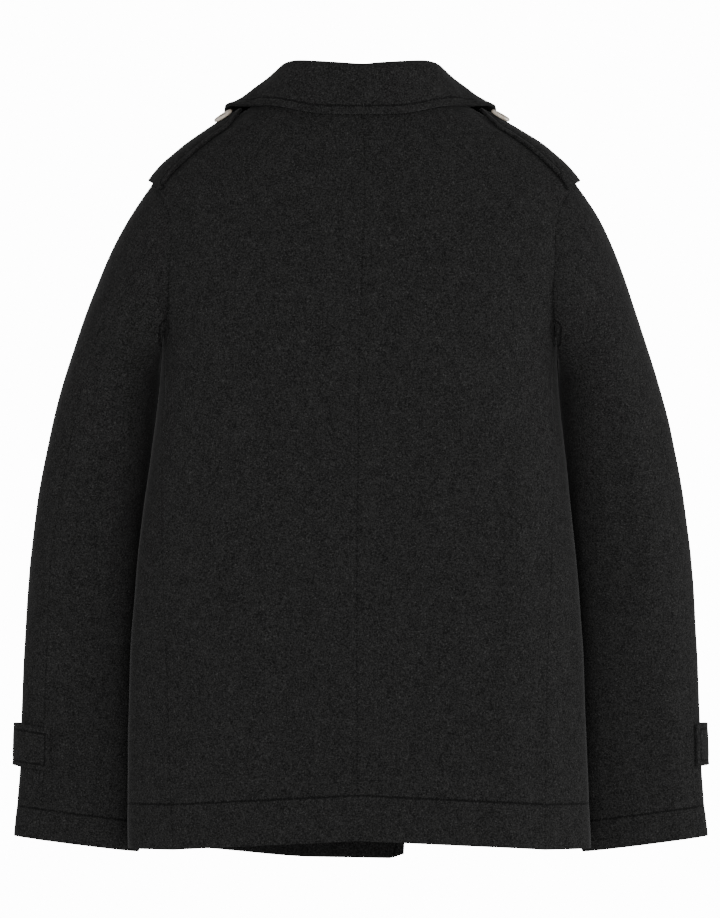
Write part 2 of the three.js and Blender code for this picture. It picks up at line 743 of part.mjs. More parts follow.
function frontGeometry(side) {
  const hemZ = side > 0 ? HEM_LEFT_FRONT_Z : HEM_RIGHT_FRONT_Z;
  const underarm = armhole(ARMHOLE_STEPS / 2);
  const sideLine = levels(0, 1, ROWS_BELOW).map((share) => ({
    turn: mix(Math.PI / 2, underarm.turn, share),
    z: mix(HEM_SIDE_Z, underarm.z, share),
  }));
  sideLine[ROWS_BELOW] = { ...underarm, step: ARMHOLE_STEPS / 2 };

  // Under the arm, from the seam at the side of the back to the middle of the side
  const seam = sideSeamPlaces();
  const top = armholePlaces(SIDE_SEAM_STEP, ARMHOLE_STEPS / 2);
  const underarmPlaces = withBorders(ruledPlaces(seam, sideLine, UNDERARM_COLUMNS), seam, sideLine);
  const last = underarmPlaces[ROWS_BELOW];
  underarmPlaces.forEach((row, i) => {
    const share = smooth(i / ROWS_BELOW) ** 2;
    if (i === ROWS_BELOW) return;
    row.slice(1, -1).forEach((place, j) => {
      place.z += (top[j + 1].z - last[j + 1].z) * share;
    });
  });
  underarmPlaces[ROWS_BELOW] = top;

  // The front itself, from the side to the edge and the roll line
  const before = armholePlaces(ARMHOLE_STEPS / 2, ARMHOLE_STEPS).slice(1);
  const start = [...sideLine, ...before, ...shoulderPlaces()];
  const edgeLevels = [
    ...levels(hemZ, BREAK_Z, ROWS_BELOW),
    ...levels(BREAK_Z, ROLL_TIP_Z, ARMHOLE_STEPS / 2).slice(1),
    ...levels(ROLL_TIP_Z, GORGE_Z, ROWS_SHOULDER).slice(1),
  ];
  const end = edgeLevels.map((z) => ({ turn: frontTurn(edgeX(z), z), z }));
  end[0].z += FRONT_CORNER;
  const frontPlaces = withBorders(ruledPlaces(start, end, FRONT_COLUMNS), start, end);

  const sheets = [underarmPlaces, frontPlaces].map((places) =>
    gridSheet(
      places.map((row) => row.map((place) => frontVertex(side, place))),
      side > 0,
    ),
  );
  return wallGeometry(welded(sheets));
}

// Lapels

/** A lapel lies on its front, from the roll line to its outer edge. */
function lapelGeometry(side) {
  const rows = levels(0, 1, LAPEL_ROWS).map((share) => {
    const rollZ = mix(BREAK_Z, GORGE_Z, share);
    const rollX = edgeX(rollZ) + LAPEL_SETBACK;
    const belly = LAPEL_BELLY * Math.sin(Math.PI * share);
    const tipX = mix(BREAK_X + LAPEL_FOOT, LAPEL_TIP_X, share) + belly;
    const tipZ = mix(BREAK_Z, LAPEL_TIP_Z, share);
    return levels(0, 1, LAPEL_COLUMNS).map((across) => {
      const z = mix(rollZ, tipZ, across);
      const place = { turn: frontTurn(mix(rollX, tipX, across), z), z };
      return frontVertex(side, place, LAPEL_GAP + CLOTH);
    });
  });
  return wallGeometry(gridSheet(rows, side < 0));
}

// Collar

const fallEdge = tableCurves(FALL_EDGE, 'column', ['x', 'y', 'z']);
const standHeight = tableCurve(STAND, 'column', 'height');

/** Neck seam of one half, from the nape to the gorge: the top rows of back and front. */
function neckSeam() {
  const back = levels(0, 1, COLLAR_BACK_COLUMNS).map((share) => ({
    turn: (share * Math.PI) / 2,
    z: mix(NAPE_Z, SHOULDER_NECK_Z, share),
  }));
  const gorge = { turn: frontTurn(GORGE_X, GORGE_Z), z: GORGE_Z };
  const front = levels(0, 1, COLLAR_FRONT_COLUMNS).map((share) => ({
    turn: mix(Math.PI / 2, gorge.turn, share),
    z: mix(SHOULDER_NECK_Z, GORGE_Z, share),
  }));
  return [...back, ...front.slice(1)];
}

/** Extra height under the collar: the end of an epaulette, with its button. */
function strapUnder(point) {
  const near = smooth((Math.abs(point.x) - STRAP_NECK_X + STRAP_RISE_START) / STRAP_RISE);
  const beside = Math.abs(point.y - STRAP_CENTRE_Y) - STRAP_NECK_HALF;
  const over = 1 - smooth(beside / STRAP_SIDE_RISE);
  const fromButton = Math.hypot(Math.abs(point.x) - STRAP_BUTTON_X, point.y - STRAP_CENTRE_Y);
  const offButton = fromButton - SHOULDER_BUTTON.radius;
  const button = SHOULDER_BUTTON.thick * (1 - smooth(offButton / STRAP_BUTTON_RISE));
  return (CLOTH + LAY_GAP + STRAP_CROWN) * near * over + button;
}

/** Middle line of the collar at one column of one side, from the neck seam to the edge. */
function collarColumn(side, column) {
  const seam = neckSeam();
  const count = seam.length - 1;
  const at = (index) => {
    const place = seam[Math.min(Math.max(index, 0), count)];
    return bodyPoint(side * place.turn, place.z);
  };
  const place = seam[column];
  const along = at(column + 1).sub(at(column - 1)).normalize();
  const normal = bodyNormal(side * place.turn, place.z);
  const ahead = clamp((column - COLLAR_BACK_COLUMNS) / COLLAR_FRONT_COLUMNS);

  // up goes along the stand, out goes across it
  const vertical = new THREE.Vector3(0, 0, 1);
  const inSurface = along.clone().cross(normal).multiplyScalar(side).normalize();
  const up = vertical.lerp(inSurface, ahead ** 1.5).normalize();
  up.addScaledVector(along, -up.dot(along)).normalize();
  const out = up.clone().cross(along).multiplyScalar(side).normalize();

  const height = standHeight(column);
  const radius = mix(FOLD_BACK, FOLD_END, ahead);
  const base = at(column).addScaledVector(out, -CLOTH / 2).addScaledVector(up, STAND_GAP);
  const lean = STAND_LEAN * (1 - ahead);
  const turnBase = base.clone().addScaledVector(up, height).addScaledVector(out, -lean);
  const centre = turnBase.clone().addScaledVector(out, radius);
  const edgeSide = side * fallEdge.x(column) + body.lean(0);
  const edge = new THREE.Vector3(edgeSide, fallEdge.y(column), fallEdge.z(column));
  const towards = edge.clone().sub(centre);
  const fullTurn = Math.atan2(towards.dot(out), towards.dot(up));

  const points = [base, base.clone().lerp(turnBase, 0.5)];
  for (const share of levels(0, 1, FOLD_SEGMENTS)) {
    const angle = share * fullTurn;
    points.push(
      centre
        .clone()
        .addScaledVector(out, -radius * Math.cos(angle))
        .addScaledVector(up, radius * Math.sin(angle)),
    );
  }
  const foldEnd = points[points.length - 1];
  for (const share of levels(0, 1, FALL_SEGMENTS).slice(1)) {
    let point = foldEnd.clone().lerp(edge, share);
    if (column === count) point = gorgePoint(side, share, edge).lerp(point, END_EASE * (1 - share));
    point.z += FALL_CROWN * share ** 3 * (1 - share) * (1 - ahead);
    if (point.z < FALL_REST_Z) {
      point = liftedOff(point, LAY_GAP + CLOTH / 2 + strapUnder(point));
    }
    points.push(point);
  }
  return points;
}

/** The collar's end follows the lapel's upper edge to the notch and then goes to the tip. */
function gorgePoint(side, share, tip) {
  const notchX = mix(GORGE_X, LAPEL_TIP_X, NOTCH_SHARE);
  const notchZ = mix(GORGE_Z, LAPEL_TIP_Z, NOTCH_SHARE);
  const along = clamp(share / NOTCH_AT);
  const x = mix(GORGE_X, notchX, along);
  const z = mix(GORGE_Z, notchZ, along) + GORGE_GAP;
  const onBody = bodyPoint(side * frontTurn(x, z), z);
  return onBody.lerp(tip, clamp((share - NOTCH_AT) / (1 - NOTCH_AT)));
}

function collarGeometry() {
  const count = COLLAR_BACK_COLUMNS + COLLAR_FRONT_COLUMNS;
  const columns = levels(-count, count, 2 * count).map((column) =>
    collarColumn(column < 0 ? -1 : 1, Math.abs(column)),
  );
  const rows = columns[0].map((_, i) => columns.map((column) => column[i]));
  const last = rows.length - 1;
  const place = (i, j) => rows[Math.min(Math.max(i, 0), last)][Math.min(Math.max(j, 0), 2 * count)];
  const vertices = rows.map((row, i) =>
    row.map((point, j) => {
      const across = place(i, j + 1).clone().sub(place(i, j - 1));
      const up = place(i + 1, j).clone().sub(place(i - 1, j));
      const normal = up.cross(across).normalize();
      return {
        point: point.clone().addScaledVector(normal, CLOTH / 2),
        inward: normal.negate(),
      };
    }),
  );
  return wallGeometry(gridSheet(vertices, true));
}

// Epaulettes

/** Place on an epaulette: along 0 at the neck to 1 at the armhole, across -1 front to 1 back. */
function strapPoint(side, along, across) {
  const half = mix(STRAP_NECK_HALF, STRAP_SHOULDER_HALF, along);
  const y = STRAP_CENTRE_Y + half * across;
  const reach = y > 0 ? ARMHOLE_BACK : ARMHOLE_FRONT;
  const swing = Math.asin((Math.abs(y) / reach) ** (1 / ARMHOLE_ROUND));
  const step = ((Math.sign(y) * swing) / (2 * Math.PI)) * ARMHOLE_STEPS;
  const tip = armhole((step + ARMHOLE_STEPS) % ARMHOLE_STEPS);
  const endX = side * (bodyPoint(side * tip.turn, tip.z).x - body.lean(tip.z)) - STRAP_SETBACK;
  const startX = STRAP_NECK_X + STRAP_ROUND * across ** 2;
  const x = side * mix(startX, endX, along);
  const z = shoulderHeight(x, y);
  const point = new THREE.Vector3(x + body.lean(z), y, z);
  const { away } = clearOfBody(point);
  const rise = LAY_GAP + STRAP_CROWN * (1 - across ** 2) + CLOTH;
  return { point: point.addScaledVector(away, rise), inward: away.clone().negate() };
}

function strapGeometry(side) {
  const rows = levels(0, 1, STRAP_ROWS).map((along) =>
    levels(-1, 1, STRAP_COLUMNS).map((across) => strapPoint(side, along, across)),
  );
  return wallGeometry(gridSheet(rows, side > 0));
}

// Cuff tabs

/** A tab lies on its sleeve from the root at the back, round the outer edge, to its button. */
function tabVertex(side, hand, around, down) {
  const step = mix(TAB_STEPS[hand], TAB_END_STEP, around);
  const z = TAB_TOP_Z - TAB_WIDTH * down;
  const v = 1 + (z - SLEEVE_TOP.outerZ) / (SLEEVE_CUFF.outerZ - SLEEVE_TOP.outerZ);
  const normal = sleeveNormal(side, step, v);
  const fromEdge = step > 0 ? step / TAB_STEPS[hand] : step / TAB_END_STEP;
  const rise = TAB_GAP + TAB_RISE * bump(fromEdge) ** TAB_ROUND + CLOTH;
  return {
    point: sleevePoint(side, step, v).addScaledVector(normal, rise),
    inward: normal.clone().negate(),
  };
}

function tabGeometry(side, hand) {
  const rows = levels(0, 1, TAB_ROWS).map((down) =>
    levels(0, 1, TAB_COLUMNS).map((around) => tabVertex(side, hand, around, down)),
  );
  return wallGeometry(gridSheet(rows, side < 0));
}

// Buttons

/** A dished button with a rim, its base at its origin and its face along +Z. */
function buttonGeometry({ radius, thick }) {
  const profile = [
    [0, 0],
    [0.8, 0],
    [1, 0.4],
    [0.96, 0.9],
    [0.82, 1],
    [0.66, 0.72],
    [0, 0.66],
  ].map(([across, up]) => new THREE.Vector2(across * radius, up * thick));
  return new THREE.LatheGeometry(profile, BUTTON_SEGMENTS).rotateX(Math.PI / 2);
}

/** Seats a button on a face. */
function addButton(name, size, point, normal) {
  const mesh = addPiece(name, buttonGeometry(size), 'horn');
  mesh.quaternion.setFromUnitVectors(new THREE.Vector3(0, 0, 1), normal);
  mesh.position.copy(point).addScaledVector(normal, BUTTON_GAP);
}

function addFrontButtons() {
  FRONT_BUTTON_Z.forEach((z, row) => {
    const x = edgeX(z) + FRONT_BUTTON_INSET;
    for (const [column, buttonX] of [['right', x], ['left', -x]]) {
      const turn = frontTurn(buttonX, z);
      const name = `front_button_${column}_${row + 1}`;
      addButton(name, FRONT_BUTTON, bodyPoint(turn, z), bodyNormal(turn, z));
    }
  });
}

function addShoulderButton(side, hand) {
  const along = (STRAP_BUTTON_X - STRAP_NECK_X) / (STRAP_SHOULDER_X - STRAP_NECK_X);
  const { point, inward } = strapPoint(side, along, 0);
  addButton(`epaulette_button_${hand}`, SHOULDER_BUTTON, point, inward.negate());
}

function addTabButton(side, hand) {
  const around = (TAB_BUTTON_STEP - TAB_STEPS[hand]) / (TAB_END_STEP - TAB_STEPS[hand]);
  const { point, inward } = tabVertex(side, hand, around, 0.5);
  addButton(`cuff_button_${hand}`, SHOULDER_BUTTON, point, inward.negate());
}

// The coat

for (const [side, hand] of [[1, 'left'], [-1, 'right']]) {
  addPiece(`back_${hand}`, backGeometry(side), 'wool');
  addPiece(`front_${hand}`, frontGeometry(side), 'wool');
  addSleeve(side, hand);
  addPiece(`lapel_${hand}`, lapelGeometry(side), 'wool');
  addPiece(`epaulette_${hand}`, strapGeometry(side), 'under');
  addShoulderButton(side, hand);
  addPiece(`cuff_tab_${hand}`, tabGeometry(side, hand), 'under');
  addTabButton(side, hand);
}
addPiece('collar', collarGeometry(), 'wool');
addFrontButtons();

export default coat;
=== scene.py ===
"""A double-breasted wool pea coat seen from behind, filled out as if worn.

The coat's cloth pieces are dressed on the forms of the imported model: each wall becomes a fine
sheet of melton with soft creases, rounded cut edges and rows of stitching.
"""

import logging
import math
from dataclasses import dataclass
from enum import Enum
from typing import Callable

import bmesh
import bpy
import numpy as np
from mathutils import Matrix, Vector, noise
from mathutils.bvhtree import BVHTree
from mathutils.kdtree import KDTree


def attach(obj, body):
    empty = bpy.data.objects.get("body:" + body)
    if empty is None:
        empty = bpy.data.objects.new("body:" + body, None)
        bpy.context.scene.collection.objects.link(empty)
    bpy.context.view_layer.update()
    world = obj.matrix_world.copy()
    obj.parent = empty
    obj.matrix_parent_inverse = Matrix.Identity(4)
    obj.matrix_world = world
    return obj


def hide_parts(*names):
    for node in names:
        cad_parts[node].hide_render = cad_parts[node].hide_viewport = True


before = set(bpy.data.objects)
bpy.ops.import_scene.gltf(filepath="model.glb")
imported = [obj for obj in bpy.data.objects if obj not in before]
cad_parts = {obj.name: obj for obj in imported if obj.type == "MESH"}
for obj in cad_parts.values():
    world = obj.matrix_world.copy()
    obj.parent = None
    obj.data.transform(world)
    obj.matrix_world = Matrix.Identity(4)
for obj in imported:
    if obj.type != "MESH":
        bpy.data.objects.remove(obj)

LOG = logging.getLogger("pea_coat")
MM = 0.001
WALL = 2.9 * MM
MERGE = 0.01 * MM
QUAD_TURN = math.radians(50)
QUAD_SKEW = math.radians(60)
FINE_LEVELS = 3
RIM_WIDTH = 0.8 * MM
RIM_CORNER = math.radians(52)
HORN_CORNER = math.radians(40)
SEAT_BAND = 50.0 * MM
TINY = 1e-6
SHORT = 1e-7
FAR_MM = 1000.0
RIM_ANGLE = math.radians(61)
FIT_PASSES = 4
WALL_SKIP = 0.02 * MM
WALL_REACH = 4.6 * MM
WALL_OPPOSED = -0.3
HEM_ROW_MM = 45.0
CUFF_ROW_MM = 31.0
FRONT_EDGE_X = 41.0 * MM
SEAM_MEET = 0.3 * MM
SEAM_OPEN = 3.0 * MM
SEWN_MM = 0.5
BORDER_STEP = 1.2 * MM
FINE_STEP = 0.4 * MM
ROW_SPAN_MM = 40.0
ROW_POINTS = 4
STRAP_END_X = 196.0 * MM
EDGE_ROW_MM = 8.0
STRAP_ROW_MM = 5.5


class Held(Enum):
    HUNG = "hung"
    LAID = "laid"
    FOLDED = "folded"


class EdgeKind(Enum):
    """What happens at a stretch of a piece's border."""

    SEAM = "seam_mm"
    HEM = "hem_mm"
    OPEN = "edge_mm"


# Creases

CREASE_POINTS = 9
CREASE_ENDS = 0.02
CREASE_TAPER = 0.8
BESIDE_AT = 1.25
BESIDE_WIDTH = 0.45
BESIDE_SHARE = 0.22


@dataclass(frozen=True)
class Crease:
    """A soft trough or ridge along a curve, in millimetres of the coat's frame."""

    start: tuple[float, float, float]
    middle: tuple[float, float, float]
    end: tuple[float, float, float]
    width: float
    lift: float

    def path(self) -> np.ndarray:
        """Points along the crease."""
        t = np.linspace(0.0, 1.0, CREASE_POINTS)[:, None]
        a, b, c = (np.array(p, float) for p in (self.start, self.middle, self.end))
        control = 2 * b - (a + c) / 2
        return (1 - t) ** 2 * a + 2 * t * (1 - t) * control + t**2 * c

    def lift_at(self, points: np.ndarray) -> np.ndarray:
        """How far the cloth is lifted at some points.

        Args:
            points: Places in millimetres, one a row.

        Returns:
            The lift in millimetres at each place.
        """
        path = self.path()
        best = np.full(len(points), np.inf)
        along = np.zeros(len(points))
        for i in range(len(path) - 1):
            step = path[i + 1] - path[i]
            share = np.clip((points - path[i]) @ step / (step @ step), 0.0, 1.0)
            off = np.linalg.norm(points - path[i] - share[:, None] * step, axis=1)
            nearer = off < best
            best[nearer] = off[nearer]
            along[nearer] = (i + share[nearer]) / (len(path) - 1)
        across = best / self.width
        core = np.where(across < 1.0, (1.0 - np.minimum(across, 1.0) ** 2) ** 2, 0.0)
        beside = np.exp(-(((across - BESIDE_AT) / BESIDE_WIDTH) ** 2)) * BESIDE_SHARE
        taper = np.sin(np.pi * np.clip(along, CREASE_ENDS, 1.0 - CREASE_ENDS)) ** CREASE_TAPER
        return self.lift * taper * (core - beside)


def mirrored(crease: Crease, lift: float, shift: float = 0.0) -> Crease:
    """The same crease on the other side, with another lift and moved up or down."""
    points = [(-x, y, z + shift) for x, y, z in (crease.start, crease.middle, crease.end)]
    return Crease(*points, crease.width, lift)


BACK_CREASES = (
    Crease((150, 98, -255), (120, 122, -300), (88, 128, -372), 24, -1.5),
    Crease((165, 80, -285), (150, 100, -350), (134, 112, -450), 20, -1.2),
    Crease((60, 100, -40), (110, 98, -75), (160, 90, -130), 34, 1.2),
    Crease((30, 128, -190), (80, 128, -215), (130, 112, -225), 30, -0.9),
    Crease((96, 118, -470), (104, 112, -580), (110, 112, -700), 22, 1.5),
    Crease((40, 118, -500), (46, 112, -610), (44, 112, -720), 20, -1.3),
    Crease((150, 90, -520), (162, 80, -620), (168, 78, -720), 20, -1.5),
)
FRONT_CREASES = (
    Crease((178, -62, -262), (140, -95, -330), (92, -108, -392), 26, -2.4),
    Crease((192, -30, -300), (170, -78, -380), (128, -100, -470), 24, -1.8),
    Crease((150, -92, -150), (120, -108, -200), (84, -116, -262), 26, 1.6),
    Crease((80, -112, -420), (110, -106, -520), (124, -102, -660), 24, -1.8),
    Crease((170, -76, -470), (186, -66, -590), (190, -60, -720), 26, 2.2),
    Crease((206, 10, -420), (214, 8, -540), (220, 6, -700), 26, -1.6),
    Crease((62, -112, -560), (70, -110, -640), (72, -109, -735), 22, 1.7),
)
SLEEVE_CREASES = (
    Crease((236, -78, -300), (268, -86, -330), (306, -70, -342), 17, -2.2),
    Crease((232, -80, -342), (270, -92, -372), (312, -72, -398), 16, -2.5),
    Crease((238, -88, -392), (276, -96, -410), (318, -78, -448), 15, -2.0),
    Crease((262, 42, -300), (282, 34, -380), (300, 14, -470), 22, 1.1),
    Crease((250, 36, -330), (262, 28, -420), (276, 12, -520), 18, -1.2),
    Crease((300, 20, -210), (276, 44, -262), (246, 46, -318), 20, -1.2),
    Crease((330, -40, -470), (336, -44, -570), (338, -56, -660), 20, 1.0),
    Crease((270, -8, -560), (286, -12, -630), (296, -22, -720), 20, -1.1),
    Crease((262, -96, -560), (288, -102, -610), (322, -88, -650), 18, -1.6),
    Crease((222, -46, -150), (252, -58, -205), (268, -72, -262), 22, -1.5),
)
COLLAR_CREASES = (
    Crease((70, 96, 16), (40, 104, 8), (8, 104, 12), 13, 0.7),
    Crease((-86, 84, 10), (-52, 98, 2), (-18, 104, 4), 12, -0.6),
    Crease((126, 30, 12), (132, 8, 2), (136, -14, -6), 10, 0.6),
    Crease((-124, 34, 10), (-132, 12, -2), (-138, -14, -10), 10, -0.6),
)


def both_sides(creases: tuple[Crease, ...], shares: tuple[float, ...]) -> tuple[Crease, ...]:
    """Creases with their uneven partners on the other side of the coat."""
    others = (
        mirrored(crease, crease.lift * shares[i % len(shares)], 11.0 * math.sin(2.3 * i))
        for i, crease in enumerate(creases)
    )
    return creases + tuple(others)


BODY_AND_SLEEVES = (
    both_sides(BACK_CREASES, (0.6, 1.2, 0.9, 1.3, 0.7))
    + both_sides(FRONT_CREASES, (1.1, 0.7, 1.2, 0.8))
    + both_sides(SLEEVE_CREASES, (0.8, 1.1, 0.7, 1.3))
)


# Cloth sheets


def coordinates(mesh: bpy.types.Mesh) -> np.ndarray:
    """A mesh's points, one a row."""
    flat = np.empty(len(mesh.vertices) * 3)
    mesh.vertices.foreach_get("co", flat)
    return flat.reshape(-1, 3)


def normals(mesh: bpy.types.Mesh) -> np.ndarray:
    """A mesh's point normals, one a row."""
    flat = np.empty(len(mesh.vertices) * 3)
    mesh.vertices.foreach_get("normal", flat)
    return flat.reshape(-1, 3)


def linked(name: str, mesh: bpy.types.Mesh) -> bpy.types.Object:
    """A new object at the origin with this mesh."""
    made = bpy.data.objects.new(name, mesh)
    bpy.context.scene.collection.objects.link(made)
    return made


def near_tree(points: list[Vector]) -> KDTree:
    """A search tree of some points."""
    tree = KDTree(len(points))
    for index, point in enumerate(points):
        tree.insert(point, index)
    tree.balance()
    return tree


def fine_places(obj: bpy.types.Object) -> np.ndarray:
    """Where the points of an object with live modifiers are; its own points come first."""
    bpy.context.view_layer.update()
    seen = obj.evaluated_get(bpy.context.evaluated_depsgraph_get())
    found = coordinates(seen.to_mesh())
    seen.to_mesh_clear()
    return found


def applied(obj: bpy.types.Object) -> bpy.types.Mesh:
    """The object's mesh with its modifiers, which then come off.

    Args:
        obj: The object with live modifiers.

    Returns:
        Its new mesh.
    """
    bpy.context.view_layer.update()
    graph = bpy.context.evaluated_depsgraph_get()
    made = bpy.data.meshes.new_from_object(obj.evaluated_get(graph))
    obj.modifiers.clear()
    old = obj.data
    obj.data = made
    bpy.data.meshes.remove(old)
    return made


def wall_faces(bm: bmesh.types.BMesh) -> set[bmesh.types.BMFace]:
    """The faces of a wall's two sides: straight behind each there is a face that looks away."""
    tree = BVHTree.FromBMesh(bm)
    found = set()
    for face in bm.faces:
        back = -face.normal
        start = face.calc_center_median() + back * WALL_SKIP
        _, normal, _, _ = tree.ray_cast(start, back, WALL_REACH)
        if normal is not None and normal.dot(face.normal) < WALL_OPPOSED:
            found.add(face)
    return found


def smooth_groups(bm: bmesh.types.BMesh) -> list[list[bmesh.types.BMFace]]:
    """Groups of wall faces that run on into each other with no sharp edge, the largest first."""
    left = wall_faces(bm)
    groups = []
    while left:
        queue = [left.pop()]
        group = []
        while queue:
            face = queue.pop()
            group.append(face)
            for edge in face.edges:
                if edge.calc_face_angle(math.pi) > RIM_ANGLE:
                    continue
                for other in edge.link_faces:
                    if other in left:
                        left.remove(other)
                        queue.append(other)
        groups.append(group)
    return sorted(groups, key=lambda found: -sum(face.calc_area() for face in found))


def outer_sheet(node: str) -> bmesh.types.BMesh:
    """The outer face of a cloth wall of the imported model, as quads.

    Args:
        node: The node's name.

    Returns:
        An open mesh of that face alone.
    """
    bm = bmesh.new()
    bm.from_mesh(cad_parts[node].data)
    bmesh.ops.remove_doubles(bm, verts=bm.verts, dist=MERGE)
    bm.normal_update()
    outer = set(smooth_groups(bm)[0])
    behind = [face for face in bm.faces if face not in outer]
    bmesh.ops.delete(bm, geom=behind, context="FACES")
    loose = [vert for vert in bm.verts if not vert.link_faces]
    bmesh.ops.delete(bm, geom=loose, context="VERTS")
    bmesh.ops.join_triangles(
        bm, faces=bm.faces, angle_face_threshold=QUAD_TURN, angle_shape_threshold=QUAD_SKEW
    )
    return bm


@dataclass
class Sheet:
    """A fine open sheet of cloth while it is being shaped."""

    name: str
    obj: bpy.types.Object

    @property
    def mesh(self) -> bpy.types.Mesh:
        """The sheet's mesh."""
        return self.obj.data

    def border(self, spacing: float = BORDER_STEP) -> list[Vector]:
        """Points all along the sheet's border."""
        bm = bmesh.new()
        bm.from_mesh(self.mesh)
        found = []
        for edge in bm.edges:
            if not edge.is_boundary:
                continue
            a, b = (vert.co.copy() for vert in edge.verts)
            count = max(1, round((b - a).length / spacing))
            found.extend(a.lerp(b, i / count) for i in range(count))
        bm.free()
        return found

    def meet(self, others: KDTree) -> None:
        """Draws each sewn point of the border halfway to the nearest border of another piece.

        Args:
            others: Points along the other pieces' borders.
        """
        seam = self.values(EdgeKind.SEAM.value)
        bm = bmesh.new()
        bm.from_mesh(self.mesh)
        for vert in bm.verts:
            if seam[vert.index] > SEWN_MM or not vert.is_boundary:
                continue
            near, _, far = others.find(vert.co)
            if far < SEAM_OPEN:
                vert.co = vert.co.lerp(near, 0.5)
        bm.to_mesh(self.mesh)
        bm.free()

    def push_seams(self, reach: float) -> None:
        """Moves the border out along the sheet where it is sewn, so that the pieces meet.

        Args:
            reach: How far it moves, in metres.
        """
        seam = self.values(EdgeKind.SEAM.value)
        bm = bmesh.new()
        bm.from_mesh(self.mesh)
        bm.verts.ensure_lookup_table()
        ways: dict[int, Vector] = {}
        for edge in bm.edges:
            if not edge.is_boundary:
                continue
            face = edge.link_faces[0]
            along = edge.verts[1].co - edge.verts[0].co
            middle = (edge.verts[0].co + edge.verts[1].co) / 2
            way = along.cross(face.normal).normalized()
            if way.dot(middle - face.calc_center_median()) < 0:
                way.negate()
            for vert in edge.verts:
                ways[vert.index] = ways.get(vert.index, Vector()) + way
        for index, way in ways.items():
            if seam[index] < SEWN_MM:
                bm.verts[index].co += way.normalized() * reach
        bm.to_mesh(self.mesh)
        bm.free()

    def write(self, name: str, values: np.ndarray) -> None:
        """Keeps a value a point as an attribute."""
        made = self.mesh.attributes.new(name, "FLOAT", "POINT")
        made.data.foreach_set("value", values.astype(np.float32))

    def values(self, name: str) -> np.ndarray:
        """An attribute's values, one a point."""
        found = np.empty(len(self.mesh.vertices), np.float32)
        self.mesh.attributes[name].data.foreach_get("value", found)
        return found.astype(float)

    def contour(self, name: str, level: float) -> list[list[tuple[Vector, Vector]]]:
        """Lines on the sheet along which an attribute has one value.

        Args:
            name: The attribute.
            level: The value.

        Returns:
            Lines, each a list of points with the sheet's normals there.
        """
        values = self.values(name)
        bm = bmesh.new()
        bm.from_mesh(self.mesh)
        bm.verts.ensure_lookup_table()
        crossings: dict[int, tuple[Vector, Vector]] = {}
        for edge in bm.edges:
            a, b = edge.verts
            low, high = values[a.index] - level, values[b.index] - level
            if low * high < 0 and max(abs(low), abs(high)) < ROW_SPAN_MM:
                share = low / (low - high)
                normal = a.normal.lerp(b.normal, share).normalized()
                crossings[edge.index] = (a.co.lerp(b.co, share), normal)
        nexts: dict[int, list[int]] = {index: [] for index in crossings}
        for face in bm.faces:
            cut = [edge.index for edge in face.edges if edge.index in crossings]
            if len(cut) == 2:
                nexts[cut[0]].append(cut[1])
                nexts[cut[1]].append(cut[0])
        bm.free()
        lines = []
        left = set(crossings)
        ends = [index for index in crossings if len(nexts[index]) == 1]
        for start in ends + list(crossings):
            if start not in left:
                continue
            line = []
            here: int | None = start
            while here is not None:
                left.discard(here)
                line.append(crossings[here])
                here = next((other for other in nexts[here] if other in left), None)
            if len(line) >= ROW_POINTS:
                lines.append(line)
        return lines


# Shared shader groups


